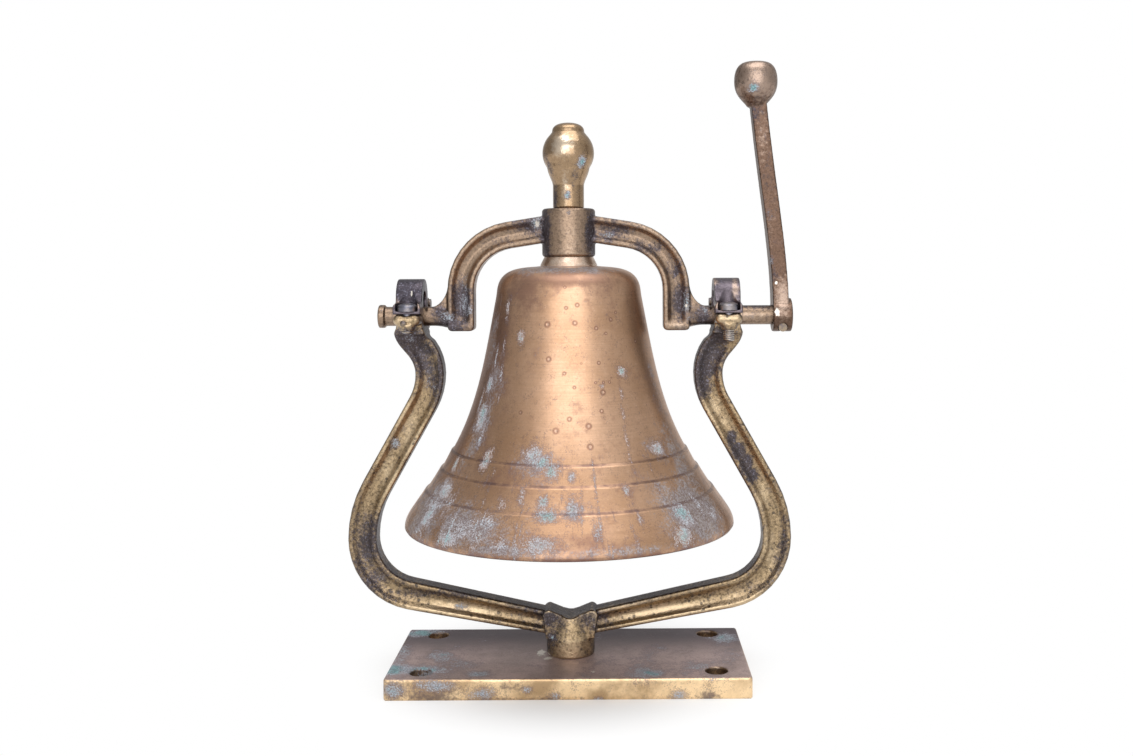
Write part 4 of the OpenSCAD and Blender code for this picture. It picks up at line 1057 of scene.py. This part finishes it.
def round_the_axis(place, around, down):
    """Coordinates for streaks that run straight down a round piece."""
    flat = vector_node("NORMALIZE", stretched(place, 1, 1, 0))["Vector"]
    height = stretched(place, 0, 0, down)
    return vector_node("MULTIPLY_ADD", flat, (around, around, around), height)["Vector"]


# %% Bell finish: colour
_, tree, shader, place = begin(bell_metal.name)
height = axes(place)["Z"]
rings = noise(stretched(place, 22, 22, 1500), 1.0, 3, 0.6)
clouds = noise(place, 16, 4, 0.6)
smudges = noise(place, 70, 4, 0.65)
stipple = noise(place, 620, 3, 0.7)
drips = noise(round_the_axis(place, 22, 26), 1.0, 5, 0.7)
within = stored(tree, "inside")

bronze = shades(clouds, -0.14, 0.14, (0.52, 0.31, 0.185), (0.66, 0.42, 0.275))
film = shades(stipple, -0.1, 0.1, (0.16, 0.155, 0.16), (0.39, 0.40, 0.44))
as_cast = shades(smudges, -0.15, 0.15, (0.19, 0.125, 0.09), (0.36, 0.24, 0.165))
# The tarnish is real tarnish and painted shade on the flanks. The haze is a grey film and, on the
# flanks, a painted sheen.
tarnish = ramp(total(stored(tree, "soot"), (clouds, 0.8), (smudges, 1.3)), 0.1, 0.6)
haze = ramp(total(stored(tree, "haze"), (smudges, 1.6), (stipple, 1.2)), 0.25, 0.9)
bronze = layered(
    bronze,
    (ramp(stipple, 0.02, 0.2), 0.3, (0.36, 0.22, 0.16)),
    (ramp(stipple, -0.04, -0.22), 0.3, (0.78, 0.56, 0.42)),
    (ramp(rings, -0.15, 0.15), 0.24, (0.40, 0.25, 0.165)),
    (ramp(smudges, 0.04, 0.24), 0.45, (0.40, 0.225, 0.145)),
    (tarnish, 0.7, (0.25, 0.135, 0.10)),
    (haze, 0.75, film),
    (within, 1.0, as_cast))

# %% Bell finish: creases, lip and pores
# Each step of the mouldings gets a thin dark line: painted shade in the crease at the step.
nearest_step = 9.0
for step_h in (band_h, middle_band_h, lower_band_h):
    gap = math_node("SUBTRACT", height, (mouth_z + step_h) * MM)
    nearest_step = math_node("MINIMUM", math_node("ABSOLUTE", gap), nearest_step)
creases = math_node("SUBTRACT", ramp(nearest_step, 1.3 * MM, 0.2 * MM), within, clamp=True)
crease_dirt = times(creases, ramp(smudges, -0.15, 0.15, 0.3, 0.9))
lip_edge = times(ramp(height, (mouth_z + 5) * MM, mouth_z * MM),
                 ramp(smudges, -0.16, 0.08, 0.2, 0.85))
pore_ring, pore_middle = dark_ring(nearest(place, pore_places))
small_ring, _ = dark_ring(scattered_pores(place, 13, 0.75))
few = ramp(noise(place, 28, 1), 0.0, 0.12)
pores = math_node("MAXIMUM", pore_ring, times(times(small_ring, few), 0.8))
bronze = layered(
    bronze,
    (crease_dirt, 1.0, (0.16, 0.10, 0.085)),
    (lip_edge, 1.0, (0.17, 0.085, 0.075)),
    (pores, 0.65, (0.24, 0.12, 0.085)),
    (pore_middle, 0.6, (0.55, 0.38, 0.30)))

# %% Bell finish: crust
lower_part = ramp(height, 0.22, 0.13, 0.05, 0.48)
run = times(ramp(drips, 0.02, 0.17), lower_part)
spots = total(0.0, (stored(tree, "verdigris"), 1.15), (run, 1.0),
              (stored(tree, "haze"), 0.15), (within, -0.25))
crust = use_group(tree, verdigris, Place=place, Amount=spots)
bronze = layered(bronze, (crust["Halo"], 0.55, (0.16, 0.10, 0.10)),
                 (crust["Cover"], 0.78, crust["Tint"]))
matt = total(0.37, (rings, 0.12), (tarnish, 0.06), (haze, 0.12), (crust["Cover"], 0.3),
             (smudges, 0.08), (within, 0.15))
bare = total(1.0, (crust["Cover"], -0.85), (haze, -0.3), (tarnish, -0.05))
lines = total(0.5, (rings, 0.27), (smudges, 0.5), (pore_middle, -0.8), (pore_ring, 0.5),
              (crust["Height"], 1.6), (creases, -0.6))
finish_metal(shader, bronze, matt, bare, lines, depth=0.10)
print("bell finish:", len(tree.nodes), "nodes")

# %% [markdown]
# The small parts are steel, iron, brass and bronze. Their own shapes are right, so the packed
# solids stay and only get a finish. It has no stored fields, so its wear comes from noise alone.

# %% Small parts
def small_metal(name, metal, worn, roughness):
    """Plain turned metal with a cloudy film and a little rust or tarnish."""
    material, tree, shader, place = begin(name)
    film = noise(place, 180, 4, 0.65)
    fine = noise(place, 1200, 2)
    body = shades(film, -0.10, 0.12, metal, worn)
    matt = total(roughness, (film, 0.3), (fine, 0.15))
    skin = use_group(tree, sand_skin, Place=place, Coarseness=0.35)
    feed(shader, Base_Color=body, Roughness=math_node("ADD", matt, 0.0, clamp=True),
         Metallic=1.0, Normal=bumped(skin["Height"], 0.15))
    return material


small_metal(thread_steel.name, (0.55, 0.50, 0.45), (0.38, 0.31, 0.25), 0.28)
blued_steel = small_metal("weathered_steel", (0.17, 0.17, 0.21), (0.30, 0.27, 0.27), 0.38)
dull_iron = small_metal("clapper_iron_finish", (0.12, 0.115, 0.115), (0.20, 0.15, 0.12), 0.5)
collar_bronze = small_metal("bright_collar_bronze", (0.70, 0.55, 0.44), (0.55, 0.40, 0.30), 0.30)
small_metal(pin_brass.name, (0.14, 0.12, 0.13), (0.28, 0.22, 0.16), 0.42)
finish_of = {
    "crown_collar": collar_bronze,
    "left_hinge_pin": pin_brass, "right_hinge_pin": pin_brass, "lever_taper_pin": pin_brass,
    "clapper_fork": dull_iron, "clapper_rod": dull_iron, "clapper_ball": dull_iron,
}
for name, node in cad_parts.items():
    for slot in node.material_slots:
        slot.material = finish_of.get(name, blued_steel)
print("small parts not of blued steel:", ", ".join(finish_of))

# %% What each piece stands for
for piece, node, body, slot in (
    (cradle_casting, "cradle", "cradle_frame", "cradle_brass"),
    (left_cap_casting, "left_bearing_cap", "cradle_frame", "cap_brass"),
    (right_cap_casting, "right_bearing_cap", "cradle_frame", "cap_brass"),
    (yoke_casting, "yoke", "swinging_bell", "yoke_brass"),
    (lever_casting, "ringing_lever", "swinging_bell", "lever_bronze"),
    (acorn_casting, "acorn_nut", "swinging_bell", "acorn_brass"),
    (plate_casting, "base_plate", "cradle_frame", "plate_brass"),
    (bell_casting, "bell", "swinging_bell", "bell_bronze"),
):
    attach(piece, body)
    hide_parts(node)
    print(f"{piece.name} stands for {node}")
for piece in threads:
    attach(piece, "cradle_frame")
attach(rivet, "cradle_frame")

# %% Look
bpy.context.scene.view_settings.view_transform = "Standard"
